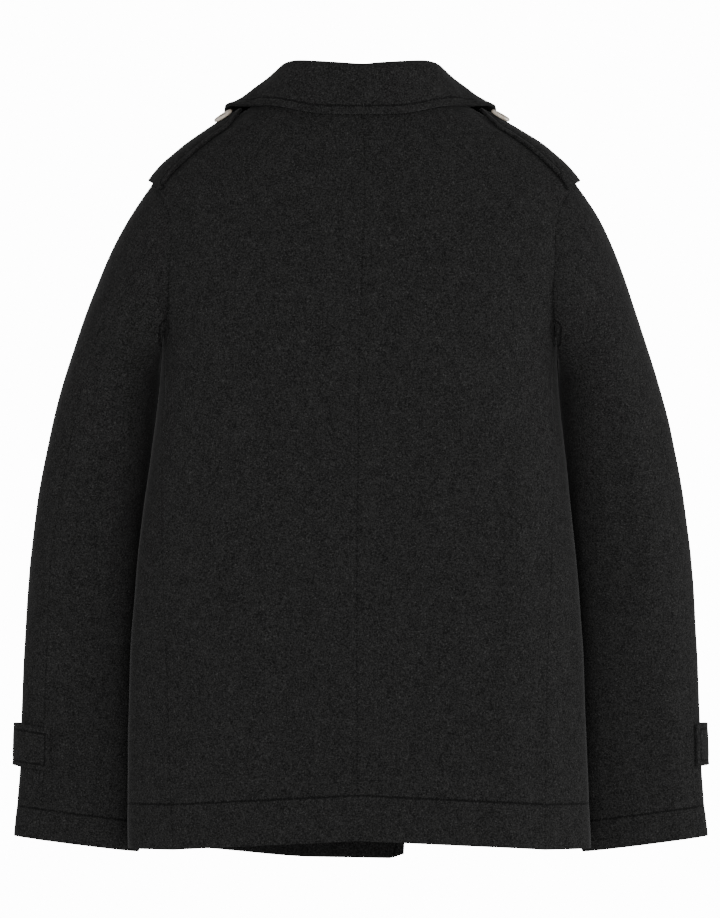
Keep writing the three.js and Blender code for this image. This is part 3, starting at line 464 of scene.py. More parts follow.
class NodeBench:
    """Makes and joins shader nodes with few words."""

    def __init__(self, tree: bpy.types.NodeTree) -> None:
        """Takes the tree to work on."""
        self.tree = tree

    def node(self, kind: str, **inputs: object) -> bpy.types.Node:
        """A node with some plain settings, by their attribute names."""
        made = self.tree.nodes.new(kind)
        for key, value in inputs.items():
            setattr(made, key, value)
        return made

    def join(self, start: bpy.types.NodeSocket, end: bpy.types.NodeSocket) -> None:
        """Links two sockets."""
        self.tree.links.new(start, end)

    def maths(self, operation: str, first: object, second: object = None) -> bpy.types.NodeSocket:
        """A Math node's result for sockets or numbers."""
        made = self.node("ShaderNodeMath", operation=operation)
        for socket, value in zip(made.inputs, (first, second)):
            if value is None:
                continue
            if isinstance(value, (int, float)):
                socket.default_value = value
            else:
                self.join(value, socket)
        return made.outputs[0]

    def soft_step(
        self,
        value: bpy.types.NodeSocket,
        low: float,
        high: float,
        start: float = 0.0,
        end: float = 1.0,
    ) -> bpy.types.NodeSocket:
        """A smooth step from start to end as the value goes from low to high."""
        made = self.node("ShaderNodeMapRange", interpolation_type="SMOOTHSTEP")
        self.join(value, made.inputs["Value"])
        for key, number in (("From Min", low), ("From Max", high), ("To Min", start), ("To Max", end)):
            made.inputs[key].default_value = number
        return made.outputs["Result"]

    def speckle(
        self,
        place: bpy.types.NodeSocket,
        scale: float,
        detail: float = 2.0,
        stretch: tuple[float, float, float] | None = None,
        turn: tuple[float, float, float] = (0.0, 0.0, 0.0),
    ) -> bpy.types.NodeSocket:
        """Noise over the object, stretched along a turned direction if asked."""
        if stretch is not None:
            mapping = self.node("ShaderNodeMapping")
            mapping.inputs["Scale"].default_value = stretch
            mapping.inputs["Rotation"].default_value = turn
            self.join(place, mapping.inputs["Vector"])
            place = mapping.outputs["Vector"]
        made = self.node("ShaderNodeTexNoise")
        made.inputs["Scale"].default_value = scale
        made.inputs["Detail"].default_value = detail
        made.inputs["Roughness"].default_value = 0.6
        self.join(place, made.inputs["Vector"])
        return made.outputs["Fac"]


    def two_tone(
        self,
        first: tuple[float, float, float],
        second: tuple[float, float, float],
        share: bpy.types.NodeSocket,
    ) -> bpy.types.NodeSocket:
        """A colour that goes from the first to the second with the share."""
        made = self.node("ShaderNodeMix", data_type="RGBA")
        made.inputs["A"].default_value = (*first, 1.0)
        made.inputs["B"].default_value = (*second, 1.0)
        self.join(share, made.inputs["Factor"])
        return made.outputs["Result"]

    def bump(
        self, height: bpy.types.NodeSocket, strength: float, depth: float
    ) -> bpy.types.NodeSocket:
        """The normals of a fine relief."""
        made = self.node("ShaderNodeBump")
        made.inputs["Strength"].default_value = strength
        made.inputs["Distance"].default_value = depth
        self.join(height, made.inputs["Height"])
        return made.outputs["Normal"]

    def surface(
        self, colour: bpy.types.NodeSocket, normal: bpy.types.NodeSocket, plain: dict[str, object]
    ) -> bpy.types.Node:
        """The shader on the material's output, with plain values on its own sockets."""
        shader = self.node("ShaderNodeBsdfPrincipled")
        for socket, value in plain.items():
            shader.inputs[socket].default_value = value
        self.join(colour, shader.inputs["Base Color"])
        self.join(normal, shader.inputs["Normal"])
        end = self.node("ShaderNodeOutputMaterial")
        self.join(shader.outputs["BSDF"], end.inputs["Surface"])
        return shader


def shared_group(
    name: str,
    inputs: tuple[tuple[str, str], ...],
    outputs: tuple[tuple[str, str], ...],
    build: Callable[[NodeBench, bpy.types.Node, bpy.types.Node], None],
) -> bpy.types.NodeTree:
    """A shader node group, made once.

    Args:
        name: The group's name.
        inputs: Names and socket types that go in.
        outputs: Names and socket types that come out.
        build: Makes the nodes between the group's two ends.

    Returns:
        The group.
    """
    group = bpy.data.node_groups.get(name)
    if group is not None:
        return group
    group = bpy.data.node_groups.new(name, "ShaderNodeTree")
    for way, sockets in (("INPUT", inputs), ("OUTPUT", outputs)):
        for label, kind in sockets:
            group.interface.new_socket(label, in_out=way, socket_type=kind)
    bench = NodeBench(group)
    build(bench, bench.node("NodeGroupInput"), bench.node("NodeGroupOutput"))
    return group


def build_heather(bench: NodeBench, start: bpy.types.Node, end: bpy.types.Node) -> None:
    """Mixed light and dark fibres, felted: a mask of light fibre and a height."""
    place = start.outputs["Place"]
    lumps = bench.speckle(place, 700.0, 3.0)
    slant = bench.speckle(place, 340.0, 2.0, (1.0, 1.0, 3.2), (0.5, 0.3, 0.4))
    weft = bench.speckle(place, 340.0, 2.0, (3.2, 1.4, 1.0), (0.2, -0.5, -0.6))
    clouds = bench.speckle(place, 85.0, 2.0)
    fibres = bench.maths("MULTIPLY", bench.maths("ADD", slant, weft), 0.5)
    lumps = bench.maths("MULTIPLY", lumps, 0.55)
    mixed = bench.maths("ADD", lumps, bench.maths("MULTIPLY", fibres, 0.45))
    light = bench.soft_step(mixed, 0.38, 0.64, 0.0, 0.56)
    flecks = bench.soft_step(bench.speckle(place, 640.0, 1.0), 0.56, 0.8, 0.0, 0.7)
    broad = bench.soft_step(clouds, 0.3, 0.7, -0.04, 0.04)
    total = bench.maths("ADD", bench.maths("ADD", light, flecks), broad)
    bench.join(total, end.inputs["Light Fibre"])
    bench.join(bench.maths("ADD", mixed, bench.maths("MULTIPLY", clouds, 0.25)), end.inputs["Height"])


def build_row(bench: NodeBench, start: bpy.types.Node, end: bpy.types.Node) -> None:
    """A stitched channel: 1 at a distance from an edge, 0 further off."""
    gap = bench.maths("SUBTRACT", start.outputs["Distance"], start.outputs["Row"])
    near = bench.maths("DIVIDE", bench.maths("ABSOLUTE", gap), start.outputs["Width"])
    bench.join(bench.soft_step(near, 0.0, 1.0, 1.0, 0.0), end.inputs["Channel"])


def heather_group() -> bpy.types.NodeTree:
    """The group that gives felted heather wool."""
    return shared_group(
        "heather_fibre",
        (("Place", "NodeSocketVector"),),
        (("Light Fibre", "NodeSocketFloat"), ("Height", "NodeSocketFloat")),
        build_heather,
    )


def row_group() -> bpy.types.NodeTree:
    """The group that gives a stitched channel or a seam."""
    return shared_group(
        "sewn_channel",
        (
            ("Distance", "NodeSocketFloat"),
            ("Row", "NodeSocketFloat"),
            ("Width", "NodeSocketFloat"),
        ),
        (("Channel", "NodeSocketFloat"),),
        build_row,
    )


# Finishes


class Finish:
    """A finish whose material is made once."""

    name: str

    def material(self) -> bpy.types.Material:
        """The finish's material."""
        found = bpy.data.materials.get(self.name)
        if found is not None:
            return found
        made = bpy.data.materials.new(self.name)
        made.use_nodes = True
        made.node_tree.nodes.clear()
        bench = NodeBench(made.node_tree)
        self.dress(bench, bench.node("ShaderNodeTexCoord").outputs["Object"])
        return made

    def dress(self, bench: NodeBench, place: bpy.types.NodeSocket) -> None:
        """Lays the finish's nodes on the bench."""
        raise NotImplementedError


@dataclass(frozen=True)
class Melton(Finish):
    """Thick felted wool cloth of mixed fibre, with its sewn channels in millimetres."""

    name: str
    dark: tuple[float, float, float] = (0.0034, 0.0034, 0.0034)
    light: tuple[float, float, float] = (0.0250, 0.0248, 0.0245)
    # How much painted shade darkens the colour along sewn rows and along seams.
    sewn_painted_shade: float = 0.35
    seam_painted_shade: float = 0.14
    channel_depth: float = 3.0
    hem_row: float = HEM_ROW_MM
    hem_width: float = 1.9
    edge_row: float = EDGE_ROW_MM
    edge_width: float = 1.7
    seam_width: float = 1.5
    nap_strength: float = 0.55
    nap_depth: float = 0.55 * MM

    def dress(self, bench: NodeBench, place: bpy.types.NodeSocket) -> None:
        """Mixed fibres, lower along seams and rows, where painted shade darkens the colour of the sunk
        channels.
        """
        heather = bench.node("ShaderNodeGroup", node_tree=heather_group())
        bench.join(place, heather.inputs["Place"])
        hem = self.channel(bench, EdgeKind.HEM, self.hem_row, self.hem_width)
        edge = self.channel(bench, EdgeKind.OPEN, self.edge_row, self.edge_width)
        seam = self.channel(bench, EdgeKind.SEAM, 0.0, self.seam_width)
        # Painted shade: the colour darkens in the sewn rows and seams, as if shade fell in their
        # channels.
        sewn = bench.maths("MULTIPLY", bench.maths("MAXIMUM", hem, edge), self.sewn_painted_shade)
        channels = bench.maths("MAXIMUM", sewn, bench.maths("MULTIPLY", seam, self.seam_painted_shade))
        shaded = bench.maths("SUBTRACT", heather.outputs["Light Fibre"], channels)
        sunk = bench.maths("MULTIPLY", channels, self.channel_depth)
        relief = bench.maths("SUBTRACT", heather.outputs["Height"], sunk)
        bench.surface(
            bench.two_tone(self.dark, self.light, shaded),
            bench.bump(relief, self.nap_strength, self.nap_depth),
            {
                "Roughness": 0.95,
                "Specular IOR Level": 0.03,
                "Sheen Weight": 0.13,
                "Sheen Roughness": 0.3,
                "Sheen Tint": (0.30, 0.30, 0.30, 1.0),
            },
        )

    def channel(
        self, bench: NodeBench, kind: EdgeKind, row: float, width: float
    ) -> bpy.types.NodeSocket:
        """A channel at a row's distance from one kind of edge."""
        read = bench.node("ShaderNodeAttribute", attribute_name=kind.value)
        group = bench.node("ShaderNodeGroup", node_tree=row_group())
        bench.join(read.outputs["Fac"], group.inputs["Distance"])
        group.inputs["Row"].default_value = row
        group.inputs["Width"].default_value = width
        return group.outputs["Channel"]


@dataclass(frozen=True)
class Horn(Finish):
    """Pale horn with a brown middle and soft streaks."""

    name: str = "button_horn"
    pale: tuple[float, float, float] = (0.34, 0.30, 0.25)
    brown: tuple[float, float, float] = (0.10, 0.055, 0.03)

    def dress(self, bench: NodeBench, place: bpy.types.NodeSocket) -> None:
        """Streaks over a middle that darkens."""
        streaks = bench.speckle(place, 220.0, 3.0, (1.0, 0.35, 0.22), (0.3, 0.9, 0.2))
        radius = bench.node("ShaderNodeAttribute", attribute_name="radius_share").outputs["Fac"]
        middle = bench.soft_step(radius, 0.3, 0.72, 1.0, 0.0)
        share = bench.maths("ADD", middle, bench.soft_step(streaks, 0.42, 0.66, -0.1, 0.35))
        shader = bench.surface(
            bench.two_tone(self.pale, self.brown, share),
            bench.bump(streaks, 0.12, 0.2 * MM),
            {"Coat Weight": 0.3, "Coat Roughness": 0.2},
        )
        bench.join(bench.soft_step(streaks, 0.3, 0.7, 0.32, 0.5), shader.inputs["Roughness"])


@dataclass(frozen=True)
class Thread(Finish):
    """Twisted sewing thread."""

    name: str
    colour: tuple[float, float, float]

    def dress(self, bench: NodeBench, place: bpy.types.NodeSocket) -> None:
        """A twist of darker and lighter strands."""
        twist = bench.speckle(place, 2600.0, 1.0)
        dark, light = (tuple(share * value for value in self.colour) for share in (0.6, 1.3))
        shader = bench.surface(
            bench.two_tone(dark, light, twist),
            bench.bump(twist, 0.4, 0.1 * MM),
            {"Specular IOR Level": 0.08},
        )
        bench.join(bench.soft_step(twist, 0.2, 0.8, 0.75, 0.95), shader.inputs["Roughness"])


BODY_WOOL = Melton("body_wool")
SLEEVE_WOOL = Melton("sleeve_wool", hem_row=CUFF_ROW_MM)
COLLAR_WOOL = Melton("collar_wool")
TRIM_WOOL = Melton("strap_wool", edge_row=STRAP_ROW_MM)
HORN = Horn()
SEWING = Thread("sewing_thread", (0.003, 0.003, 0.003))
BUTTON_TWIST = Thread("button_thread", (0.035, 0.028, 0.022))


# Cloth pieces


@dataclass(frozen=True)
class Cut:
    """A piece's flat cut in metres, with its area in square metres."""

    width: float
    length: float
    area: float


def soft_rise(values: np.ndarray, start: float, end: float) -> np.ndarray:
    """A smooth step from 0 at start to 1 at end, for each value."""
    share = np.clip((values - start) / (end - start), 0.0, 1.0)
    return share * share * (3.0 - 2.0 * share)


@dataclass(frozen=True)
class HemHang:
    """The left front's hem hangs lower towards its edge, with a rounded corner, in millimetres."""

    drop: float = 8.5
    side_x: float = 185.0
    full_x: float = 45.0
    top_z: float = -590.0
    hem_z: float = -750.0
    corner: float = 5.0
    corner_x: float = -28.0
    edge_x: float = -47.0

    def settle(self, sheet: Sheet) -> None:
        """Lets the lower part of a sheet hang down."""
        points = coordinates(sheet.mesh)
        x, z = points[:, 0] / MM, points[:, 2] / MM
        drop = self.drop * soft_rise(-x, -self.side_x, -self.full_x)
        drop -= self.corner * soft_rise(-x, -self.corner_x, -self.edge_x)
        points[:, 2] -= drop * soft_rise(-z, -self.top_z, -self.hem_z) * MM
        sheet.mesh.vertices.foreach_set("co", points.ravel())
        sheet.mesh.update()


@dataclass(frozen=True)
class Handle:
    """How thick cloth gives along seams, edges and sewn rows, in millimetres."""

    wave_size: float = 46.0
    ripple_size: float = 15.0
    ripple_from: tuple[float, float, float] = (7.0, 3.0, 1.0)
    pucker: float = 0.3
    seam_width: float = 4.0
    pucker_width: float = 16.0
    edge_width: float = 2.0
    row_width: float = 3.5
    row_depth: float = 0.45

    def wave(self, places: np.ndarray) -> np.ndarray:
        """Slow waves in the cloth, between -1 and 1."""
        return np.array([noise.noise(Vector(place) / self.wave_size) for place in places])

    def ripple(self, places: np.ndarray) -> np.ndarray:
        """Short ripples that seams and rows draw up, between -1 and 1."""
        start = Vector(self.ripple_from)
        return np.array([noise.noise(Vector(place) / self.ripple_size + start) for place in places])


HANDLE = Handle()


@dataclass
class ClothPiece:
    """One piece of cloth of the coat, from its form to its dressed wall."""

    node: str
    cut: Cut
    finish: Melton
    slot: str = "melton"
    held: Held = Held.HUNG
    rests_on: tuple[str, ...] = ()
    creases: tuple[Crease, ...] = BODY_AND_SLEEVES
    hem_row: float | None = None
    edge_row: float | None = None
    hem_below: float = -9.0
    edge_way: int = 0
    join_reach: float = 1.6 * MM
    joined: Callable[[Vector], bool] | None = None
    waves: float = 0.5
    hang: HemHang | None = None

    def form(self) -> Sheet:
        """The piece's outer face, smooth and fine."""
        bm = outer_sheet(self.node)
        mesh = bpy.data.meshes.new(self.node + "_cloth")
        bm.to_mesh(mesh)
        bm.free()
        obj = linked(self.node + "_cloth", mesh)
        smooth = obj.modifiers.new("fine", "SUBSURF")
        smooth.levels = smooth.render_levels = FINE_LEVELS
        smooth.boundary_smooth = "PRESERVE_CORNERS"
        places = coordinates(mesh)
        cage = places.copy()
        for _ in range(FIT_PASSES):
            cage += places - fine_places(obj)[: len(places)]
            mesh.vertices.foreach_set("co", cage.ravel())
            mesh.update()
        applied(obj)
        sheet = Sheet(self.node, obj)
        if self.hang is not None:
            self.hang.settle(sheet)
        return sheet

    def kind_of(self, point: Vector, others: KDTree) -> EdgeKind:
        """What a point of the border is: a seam, the hem or an open edge."""
        if self.joined is not None:
            if self.joined(point):
                return EdgeKind.SEAM
        elif others.find(point)[2] < self.join_reach:
            return EdgeKind.SEAM
        if point.x * self.edge_way > FRONT_EDGE_X:
            return EdgeKind.OPEN
        return EdgeKind.HEM if point.z < self.hem_below else EdgeKind.OPEN

    def measure(self, sheet: Sheet, others: KDTree) -> None:
        """Writes how far each point of the sheet is from seams, hem and open edges."""
        groups: dict[EdgeKind, list[Vector]] = {kind: [] for kind in EdgeKind}
        for point in sheet.border():
            groups[self.kind_of(point, others)].append(point)
        places = [vert.co for vert in sheet.mesh.vertices]
        for kind, points in groups.items():
            if not points:
                sheet.write(kind.value, np.full(len(places), FAR_MM))
                continue
            tree = near_tree(points)
            sheet.write(kind.value, np.array([tree.find(place)[2] / MM for place in places]))

    def shape(self, sheet: Sheet) -> None:
        """Lays creases, waves and puckers into the sheet."""
        points = coordinates(sheet.mesh)
        out = normals(sheet.mesh)
        in_mm = points / MM
        lift = np.zeros(len(points))
        for crease in self.creases:
            lift += crease.lift_at(in_mm)
        seam = sheet.values(EdgeKind.SEAM.value)
        edge = np.minimum(sheet.values(EdgeKind.OPEN.value), sheet.values(EdgeKind.HEM.value))
        ripple = HANDLE.pucker * HANDLE.ripple(in_mm)
        lift += self.waves * HANDLE.wave(in_mm)
        lift -= np.exp(-seam / HANDLE.seam_width) * (HANDLE.pucker + ripple)
        lift += np.exp(-seam / HANDLE.pucker_width) * ripple
        lift -= np.exp(-edge / HANDLE.edge_width) * HANDLE.pucker
        for name, row in self.sewn_rows():
            off = (sheet.values(name) - row) / HANDLE.row_width
            lift -= np.exp(-off * off) * (HANDLE.row_depth + ripple)
        moved = points + out * (lift * MM)[:, None]
        sheet.mesh.vertices.foreach_set("co", moved.ravel())
        sheet.mesh.update()

    def sewn_rows(self) -> list[tuple[str, float]]:
        """The attribute that each row of stitches follows, and its distance."""
        rows = ((EdgeKind.HEM.value, self.hem_row), (EdgeKind.OPEN.value, self.edge_row))
        return [(name, row) for name, row in rows if row is not None]

    def lines(self, sheet: Sheet) -> list[list[tuple[Vector, Vector]]]:
        """The lines that the piece's stitches follow."""
        return [line for name, row in self.sewn_rows() for line in sheet.contour(name, row)]

    def finish_wall(self, sheet: Sheet) -> bpy.types.Object:
        """Gives the sheet its thickness, rounded edges and finish.

        Args:
            sheet: The shaped sheet.

        Returns:
            The finished piece.
        """
        obj = sheet.obj
        wall = obj.modifiers.new("thickness", "SOLIDIFY")
        wall.thickness = WALL
        wall.offset = -1.0
        soft = obj.modifiers.new("soft_edges", "BEVEL")
        soft.width = RIM_WIDTH
        soft.segments = 2
        soft.limit_method = "ANGLE"
        soft.angle_limit = RIM_CORNER
        applied(obj)
        obj.data.materials.clear()
        obj.data.materials.append(self.finish.material())
        for polygon in obj.data.polygons:
            polygon.use_smooth = True
        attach(obj, "root")
        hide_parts(self.node)
        return obj


@dataclass(frozen=True)
class Stitching:
    """Rows of machine stitches that lie in the cloth."""

    length: float = 3.4 * MM
    pitch: float = 4.6 * MM
    radius: float = 0.42 * MM
    first: float = 0.8
    sunk: float = 0.7

    def stamp(self) -> bpy.types.Mesh:
        """One stitch at the origin, along X."""
        bm = bmesh.new()
        bmesh.ops.create_uvsphere(bm, u_segments=6, v_segments=5, radius=1.0)
        bmesh.ops.rotate(bm, verts=bm.verts, matrix=Matrix.Rotation(math.pi / 2, 3, "Y"))
        bmesh.ops.scale(bm, verts=bm.verts, vec=(self.length / 2, self.radius, self.radius))
        mesh = bpy.data.meshes.new("stitch")
        bm.to_mesh(mesh)
        bm.free()
        return mesh

    def sew(
        self,
        bm: bmesh.types.BMesh,
        stitch: bpy.types.Mesh,
        line: list[tuple[Vector, Vector]],
    ) -> int:
        """Lays stitches along a line.

        Args:
            bm: The mesh that takes them.
            stitch: One stitch at the origin.
            line: Points of the line and the cloth's normals there.

        Returns:
            How many stitches were laid.
        """
        lengths = [0.0]
        for (a, _), (b, _) in zip(line, line[1:]):
            lengths.append(lengths[-1] + (b - a).length)
        count = int((lengths[-1] - self.length) / self.pitch)
        index = 0
        for number in range(count):
            middle = (number + self.first) * self.pitch
            while index + 2 < len(line) and lengths[index + 1] < middle:
                index += 1
            span = max(lengths[index + 1] - lengths[index], SHORT)
            share = min(1.0, max(0.0, (middle - lengths[index]) / span))
            (a, first), (b, second) = line[index], line[index + 1]
            along = (b - a).normalized()
            up = first.lerp(second, share).normalized()
            side = up.cross(along).normalized()
            turned = Matrix((along, side, up)).transposed().to_4x4()
            centre = a.lerp(b, share) - up * self.radius * self.sunk
            place = Matrix.Translation(centre) @ turned
            stitch.transform(place)
            bm.from_mesh(stitch)
            stitch.transform(place.inverted())
        return max(count, 0)

    def piece(self, name: str, lines: list[list[tuple[Vector, Vector]]], slot: str) -> None:
        """One object with the stitches of some lines."""
        bm = bmesh.new()
        stitch = self.stamp()
        laid = sum(self.sew(bm, stitch, line) for line in lines)
        bpy.data.meshes.remove(stitch)
        if laid == 0:
            bm.free()
            return
        mesh = bpy.data.meshes.new(name)
        bm.to_mesh(mesh)
        bm.free()
        obj = linked(name, mesh)
        mesh.materials.append(SEWING.material())
        for polygon in mesh.polygons:
            polygon.use_smooth = True
        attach(obj, "root")
        LOG.info("%s: %d stitches", name, laid)


def other_borders(borders: dict[str, list[Vector]], node: str) -> KDTree:
    """A search tree of every border but one piece's."""
    return near_tree([point for name, points in borders.items() if name != node for point in points])


@dataclass
class Coat:
    """All the cloth of the coat, with its sewing."""

    stitching: Stitching = Stitching()

    def pieces(self) -> list[ClothPiece]:
        """Every cloth piece with its cut and its finish."""
        made = []
        for hand, way, hang, back, front, top, under, tab in (
            ("left", -1, HemHang(), 0.1565, 0.2560, 0.116, 0.0950, Cut(0.045, 0.125, 0.0055)),
            ("right", 1, None, 0.157, 0.2515, 0.1155, 0.1, Cut(0.045, 0.095, 0.0041)),
        ):
            body = dict(finish=BODY_WOOL, hem_row=HEM_ROW_MM, hem_below=-0.725)
            sleeve = dict(finish=SLEEVE_WOOL, hem_row=CUFF_ROW_MM, hem_below=-0.70)
            made += [
                ClothPiece("back_" + hand, Cut(0.24, 0.775, back), **body),
                ClothPiece(
                    "front_" + hand,
                    Cut(0.43, 0.79, front),
                    edge_row=EDGE_ROW_MM,
                    edge_way=way,
                    hang=hang,
                    **body,
                ),
                ClothPiece("top_sleeve_" + hand, Cut(0.215, 0.69, top), **sleeve),
                ClothPiece("under_sleeve_" + hand, Cut(0.18, 0.65, under), **sleeve),
                ClothPiece(
                    "lapel_" + hand,
                    Cut(0.125, 0.3, 0.0192),
                    finish=COLLAR_WOOL,
                    held=Held.FOLDED,
                    rests_on=("front_" + hand,),
                    edge_row=EDGE_ROW_MM,
                    join_reach=6.0 * MM,
                ),
                ClothPiece(
                    "epaulette_" + hand,
                    Cut(0.055, 0.12, 0.006),
                    finish=TRIM_WOOL,
                    slot="melton_trim",
                    held=Held.LAID,
                    rests_on=("back_" + hand, "front_" + hand),
                    edge_row=STRAP_ROW_MM,
                    joined=lambda point: abs(point.x) > STRAP_END_X,
                    waves=0.2,
                ),
                ClothPiece(
                    "cuff_tab_" + hand,
                    tab,
                    finish=TRIM_WOOL,
                    slot="melton_trim",
                    held=Held.LAID,
                    rests_on=("top_sleeve_" + hand,),
                    edge_row=STRAP_ROW_MM,
                    joined=lambda point: False,
                    waves=0.2,
                ),
            ]
        made.append(
            ClothPiece(
                "collar",
                Cut(0.105, 0.46, 0.0365),
                finish=COLLAR_WOOL,
                held=Held.FOLDED,
                rests_on=("back_left", "back_right"),
                creases=COLLAR_CREASES,
                edge_row=EDGE_ROW_MM,
                waves=0.35,
            )
        )
        return made

    def build(self) -> None:
        """Builds every piece, sews it and reports it."""
        pieces = self.pieces()
        sheets = {piece.node: piece.form() for piece in pieces}
        borders = {node: sheet.border() for node, sheet in sheets.items()}
        for piece in pieces:
            piece.measure(sheets[piece.node], other_borders(borders, piece.node))
            piece.shape(sheets[piece.node])
        shaped = {
            piece.node: sheets[piece.node].border(FINE_STEP)
            for piece in pieces
            if piece.creases is BODY_AND_SLEEVES and not piece.rests_on
        }
        for piece in pieces:
            sheet = sheets[piece.node]
            if piece.node in shaped:
                sheet.meet(other_borders(shaped, piece.node))
            sheet.push_seams(SEAM_MEET)
            lines = piece.lines(sheet)
            made = piece.finish_wall(sheet)
            self.stitching.piece(piece.node + "_stitches", lines, piece.slot)
            LOG.info("%s: %d faces", made.name, len(made.data.polygons))


# Buttons


@dataclass(frozen=True)
class Button:
    """A dished horn button with four holes and its thread; holes and strands in shares of its size."""

    node: str
    radius: float
    thick: float
    carriers: tuple[str, ...]
    steps: int = 40
    hole_reach: float = 0.2
    hole_radius: float = 0.085
    strand_radius: float = 0.045
    strand_apart: float = 0.75
    strand_length: float = 1.25
    strand_height: float = 1.2
    strand_level: float = 0.7

    def seat(self) -> Matrix:
        """Where the button's base is and which way it faces, from its node."""
        points = coordinates(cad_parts[self.node].data)
        centre = points.mean(axis=0)
        axis = np.linalg.svd(points - centre)[2][2]
        near = np.concatenate([coordinates(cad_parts[name].data) for name in self.carriers])
        near = near[np.abs(near[:, 2] - centre[2]) < SEAT_BAND]
        if axis @ (centre - near.mean(axis=0)) < 0:
            axis = -axis
        depth = ((points - centre) @ axis).min()
        base = Vector(centre + axis * depth)
        turn = Vector((0.0, 0.0, 1.0)).rotation_difference(Vector(axis)).to_matrix().to_4x4()
        return Matrix.Translation(base) @ turn

    def disc(self) -> bmesh.types.BMesh:
        """The button's body, turned from its profile."""
        profile = (
            (0.0, 0.0),
            (0.78, 0.0),
            (0.95, 0.16),
            (1.0, 0.45),
            (0.97, 0.78),
            (0.9, 0.97),
            (0.8, 1.0),
            (0.7, 0.9),
            (0.6, 0.74),
            (0.4, 0.68),
            (0.0, 0.66),
        )
        bm = bmesh.new()
        verts = [bm.verts.new((x * self.radius, 0.0, z * self.thick)) for x, z in profile]
        edges = [bm.edges.new(pair) for pair in zip(verts, verts[1:])]
        bmesh.ops.spin(
            bm,
            geom=verts + edges,
            cent=(0.0, 0.0, 0.0),
            axis=(0.0, 0.0, 1.0),
            angle=math.tau,
            steps=self.steps,
            use_merge=True,
        )
        bmesh.ops.remove_doubles(bm, verts=bm.verts, dist=TINY)
        bmesh.ops.recalc_face_normals(bm, faces=bm.faces)
        return bm

    def hole_places(self) -> list[tuple[float, float]]:
        """The four holes' middles."""
        reach = self.radius * self.hole_reach
        return [(reach * x, reach * y) for x in (-1, 1) for y in (-1, 1)]

    def build(self) -> None:
        """Makes the button and its thread and seats them."""
        place = self.seat()
        mesh = bpy.data.meshes.new(self.node + "_horn")
        bm = self.disc()
        bm.to_mesh(mesh)
        bm.free()
        obj = linked(self.node + "_horn", mesh)
        cutter_mesh = bpy.data.meshes.new("drill")
        drill = bmesh.new()
        for x, y in self.hole_places():
            bmesh.ops.create_cone(
                drill,
                cap_ends=True,
                segments=12,
                radius1=self.radius * self.hole_radius,
                radius2=self.radius * self.hole_radius,
                depth=self.thick * 4,
                matrix=Matrix.Translation((x, y, self.thick / 2)),
            )
        drill.to_mesh(cutter_mesh)
        drill.free()
        cutter = linked("drill", cutter_mesh)
        holes = obj.modifiers.new("holes", "BOOLEAN")
        holes.operation = "DIFFERENCE"
        holes.solver = "EXACT"
        holes.object = cutter
        mesh = applied(obj)
        bpy.data.objects.remove(cutter)
        shares = np.linalg.norm(coordinates(mesh)[:, :2], axis=1) / self.radius
        made = mesh.attributes.new("radius_share", "FLOAT", "POINT")
        made.data.foreach_set("value", shares.astype(np.float32))
        mesh.transform(place)
        mesh.materials.append(HORN.material())
        mesh.polygons.foreach_set("use_smooth", [True] * len(mesh.polygons))
        mesh.set_sharp_from_angle(angle=HORN_CORNER)
        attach(obj, "root")
        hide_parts(self.node)
        self.thread(place)
        LOG.info("%s: %d faces", obj.name, len(mesh.polygons))

    def thread(self, place: Matrix) -> None:
        """Sews the button on: strands between its holes."""
        bm = bmesh.new()
        reach = self.radius * self.hole_reach
        top = self.thick * self.strand_level
        strand = self.radius * self.strand_radius
        shape = (reach * self.strand_length, strand, strand * self.strand_height, 1.0)
        lain = Matrix.Diagonal(shape) @ Matrix.Rotation(math.pi / 2, 4, "Y")
        for side in (-1, 1):
            for offset in (-self.strand_apart, self.strand_apart):
                middle = Matrix.Translation((0.0, reach * side + offset * strand, top))
                bmesh.ops.create_uvsphere(
                    bm, u_segments=8, v_segments=8, radius=1.0, matrix=middle @ lain
                )
        mesh = bpy.data.meshes.new(self.node + "_thread")
        bm.to_mesh(mesh)
        bm.free()
        mesh.transform(place)
        mesh.materials.append(BUTTON_TWIST.material())
        mesh.polygons.foreach_set("use_smooth", [True] * len(mesh.polygons))
        obj = linked(self.node + "_thread", mesh)
        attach(obj, "root")


def buttons() -> list[Button]:
    """Every button of the coat."""
    body = ("back_left", "back_right", "front_left", "front_right")
    found = []
    for hand in ("left", "right"):
        found.append(Button("epaulette_button_" + hand, 10.4 * MM, 3.6 * MM, body))
        sleeve = ("top_sleeve_" + hand, "under_sleeve_" + hand)
        found.append(Button("cuff_button_" + hand, 10.4 * MM, 3.6 * MM, sleeve))
        for row in (1, 2, 3):
            found.append(Button(f"front_button_{hand}_{row}", 14 * MM, 4.5 * MM, body))
    return found


# Studio


@dataclass(frozen=True)
class Lamp:
    """A square soft light that faces the coat."""

    name: str
    place: tuple[float, float, float]
    size: float
    power: float

    def build(self, aim: Vector) -> None:
        """Hangs the lamp so that it faces a point."""
        data = bpy.data.lights.new(self.name, "AREA")
        data.shape = "SQUARE"
        data.size = self.size
        data.energy = self.power
        lamp = bpy.data.objects.new(self.name, data)
        lamp.location = self.place
        lamp.rotation_euler = (aim - Vector(self.place)).to_track_quat("-Z", "Y").to_euler()
        bpy.context.scene.collection.objects.link(lamp)


LAMPS = (
    Lamp("key", (0.5, 5.0, 0.7), 2.0, 172.0),
    Lamp("fill", (-0.6, 5.0, -0.3), 2.0, 115.0),
    Lamp("side_left", (3.0, -0.1, -0.2), 1.6, 34.0),
    Lamp("side_right", (-3.0, -0.1, -0.2), 1.6, 95.0),
    Lamp("top", (0.0, 0.4, 2.6), 2.2, 18.0),
)


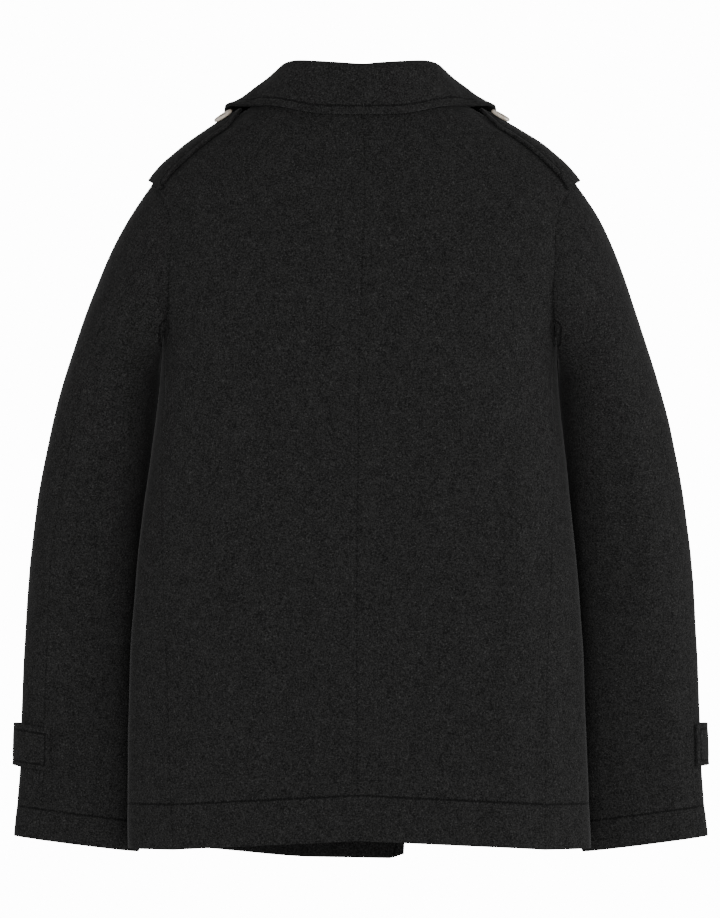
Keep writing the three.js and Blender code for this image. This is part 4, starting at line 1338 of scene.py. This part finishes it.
@dataclass(frozen=True)
class Studio:
    """A pale floor, soft light and a camera straight behind the coat."""

    distance: float = 10.0
    view_width: float = 0.720
    middle: tuple[float, float] = (0.0008, -0.357)
    aim: tuple[float, float, float] = (0.0, 0.0, -0.35)
    floor_level: float = -1.42
    floor_size: float = 3.2
    floor_tone: float = 0.86
    world_light: float = 0.5
    backdrop: float = 14.0
    sensor: float = 36.0
    far: float = 60.0

    def build(self) -> None:
        """Sets up floor, light and camera."""
        self.lay_floor()
        self.light()
        self.camera()

    def lay_floor(self) -> None:
        """A plain pale floor at a wearer's feet."""
        bm = bmesh.new()
        bmesh.ops.create_grid(bm, x_segments=2, y_segments=2, size=self.floor_size)
        mesh = bpy.data.meshes.new("floor")
        bm.to_mesh(mesh)
        bm.free()
        mesh.transform(Matrix.Translation((0.0, 0.0, self.floor_level)))
        floor = linked("floor", mesh)
        paint = bpy.data.materials.new("floor_pale")
        paint.use_nodes = True
        shader = paint.node_tree.nodes["Principled BSDF"]
        shader.inputs["Base Color"].default_value = (*(self.floor_tone,) * 3, 1.0)
        shader.inputs["Roughness"].default_value = 0.9
        mesh.materials.append(paint)

    def light(self) -> None:
        """Soft light all round, with lamps behind the camera, at both sides and above."""
        world = bpy.data.worlds.new("studio_white")
        world.use_nodes = True
        back = world.node_tree.nodes["Background"]
        back.inputs["Color"].default_value = (1.0, 1.0, 1.0, 1.0)
        bench = NodeBench(world.node_tree)
        seen = bench.node("ShaderNodeLightPath").outputs["Is Camera Ray"]
        strength = bench.soft_step(seen, 0.0, 1.0, self.world_light, self.backdrop)
        bench.join(strength, back.inputs["Strength"])
        bpy.context.scene.world = world
        for lamp in LAMPS:
            lamp.build(Vector(self.aim))

    def camera(self) -> None:
        """A long lens at the coat's middle height, level, straight behind."""
        data = bpy.data.cameras.new("view")
        data.sensor_fit = "HORIZONTAL"
        data.sensor_width = self.sensor
        data.lens = self.sensor * self.distance / self.view_width
        data.clip_end = self.far
        camera = bpy.data.objects.new("view", data)
        camera.location = (self.middle[0], self.distance, self.middle[1])
        camera.rotation_euler = (math.pi / 2, 0.0, math.pi)
        bpy.context.scene.collection.objects.link(camera)
        bpy.context.scene.camera = camera


def main() -> None:
    """Builds the dressed coat and its studio."""
    logging.basicConfig(level=logging.INFO, format="%(name)s: %(message)s")
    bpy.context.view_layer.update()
    Coat().build()
    for button in buttons():
        button.build()
    Studio().build()


if __name__ == "__main__":
    main()
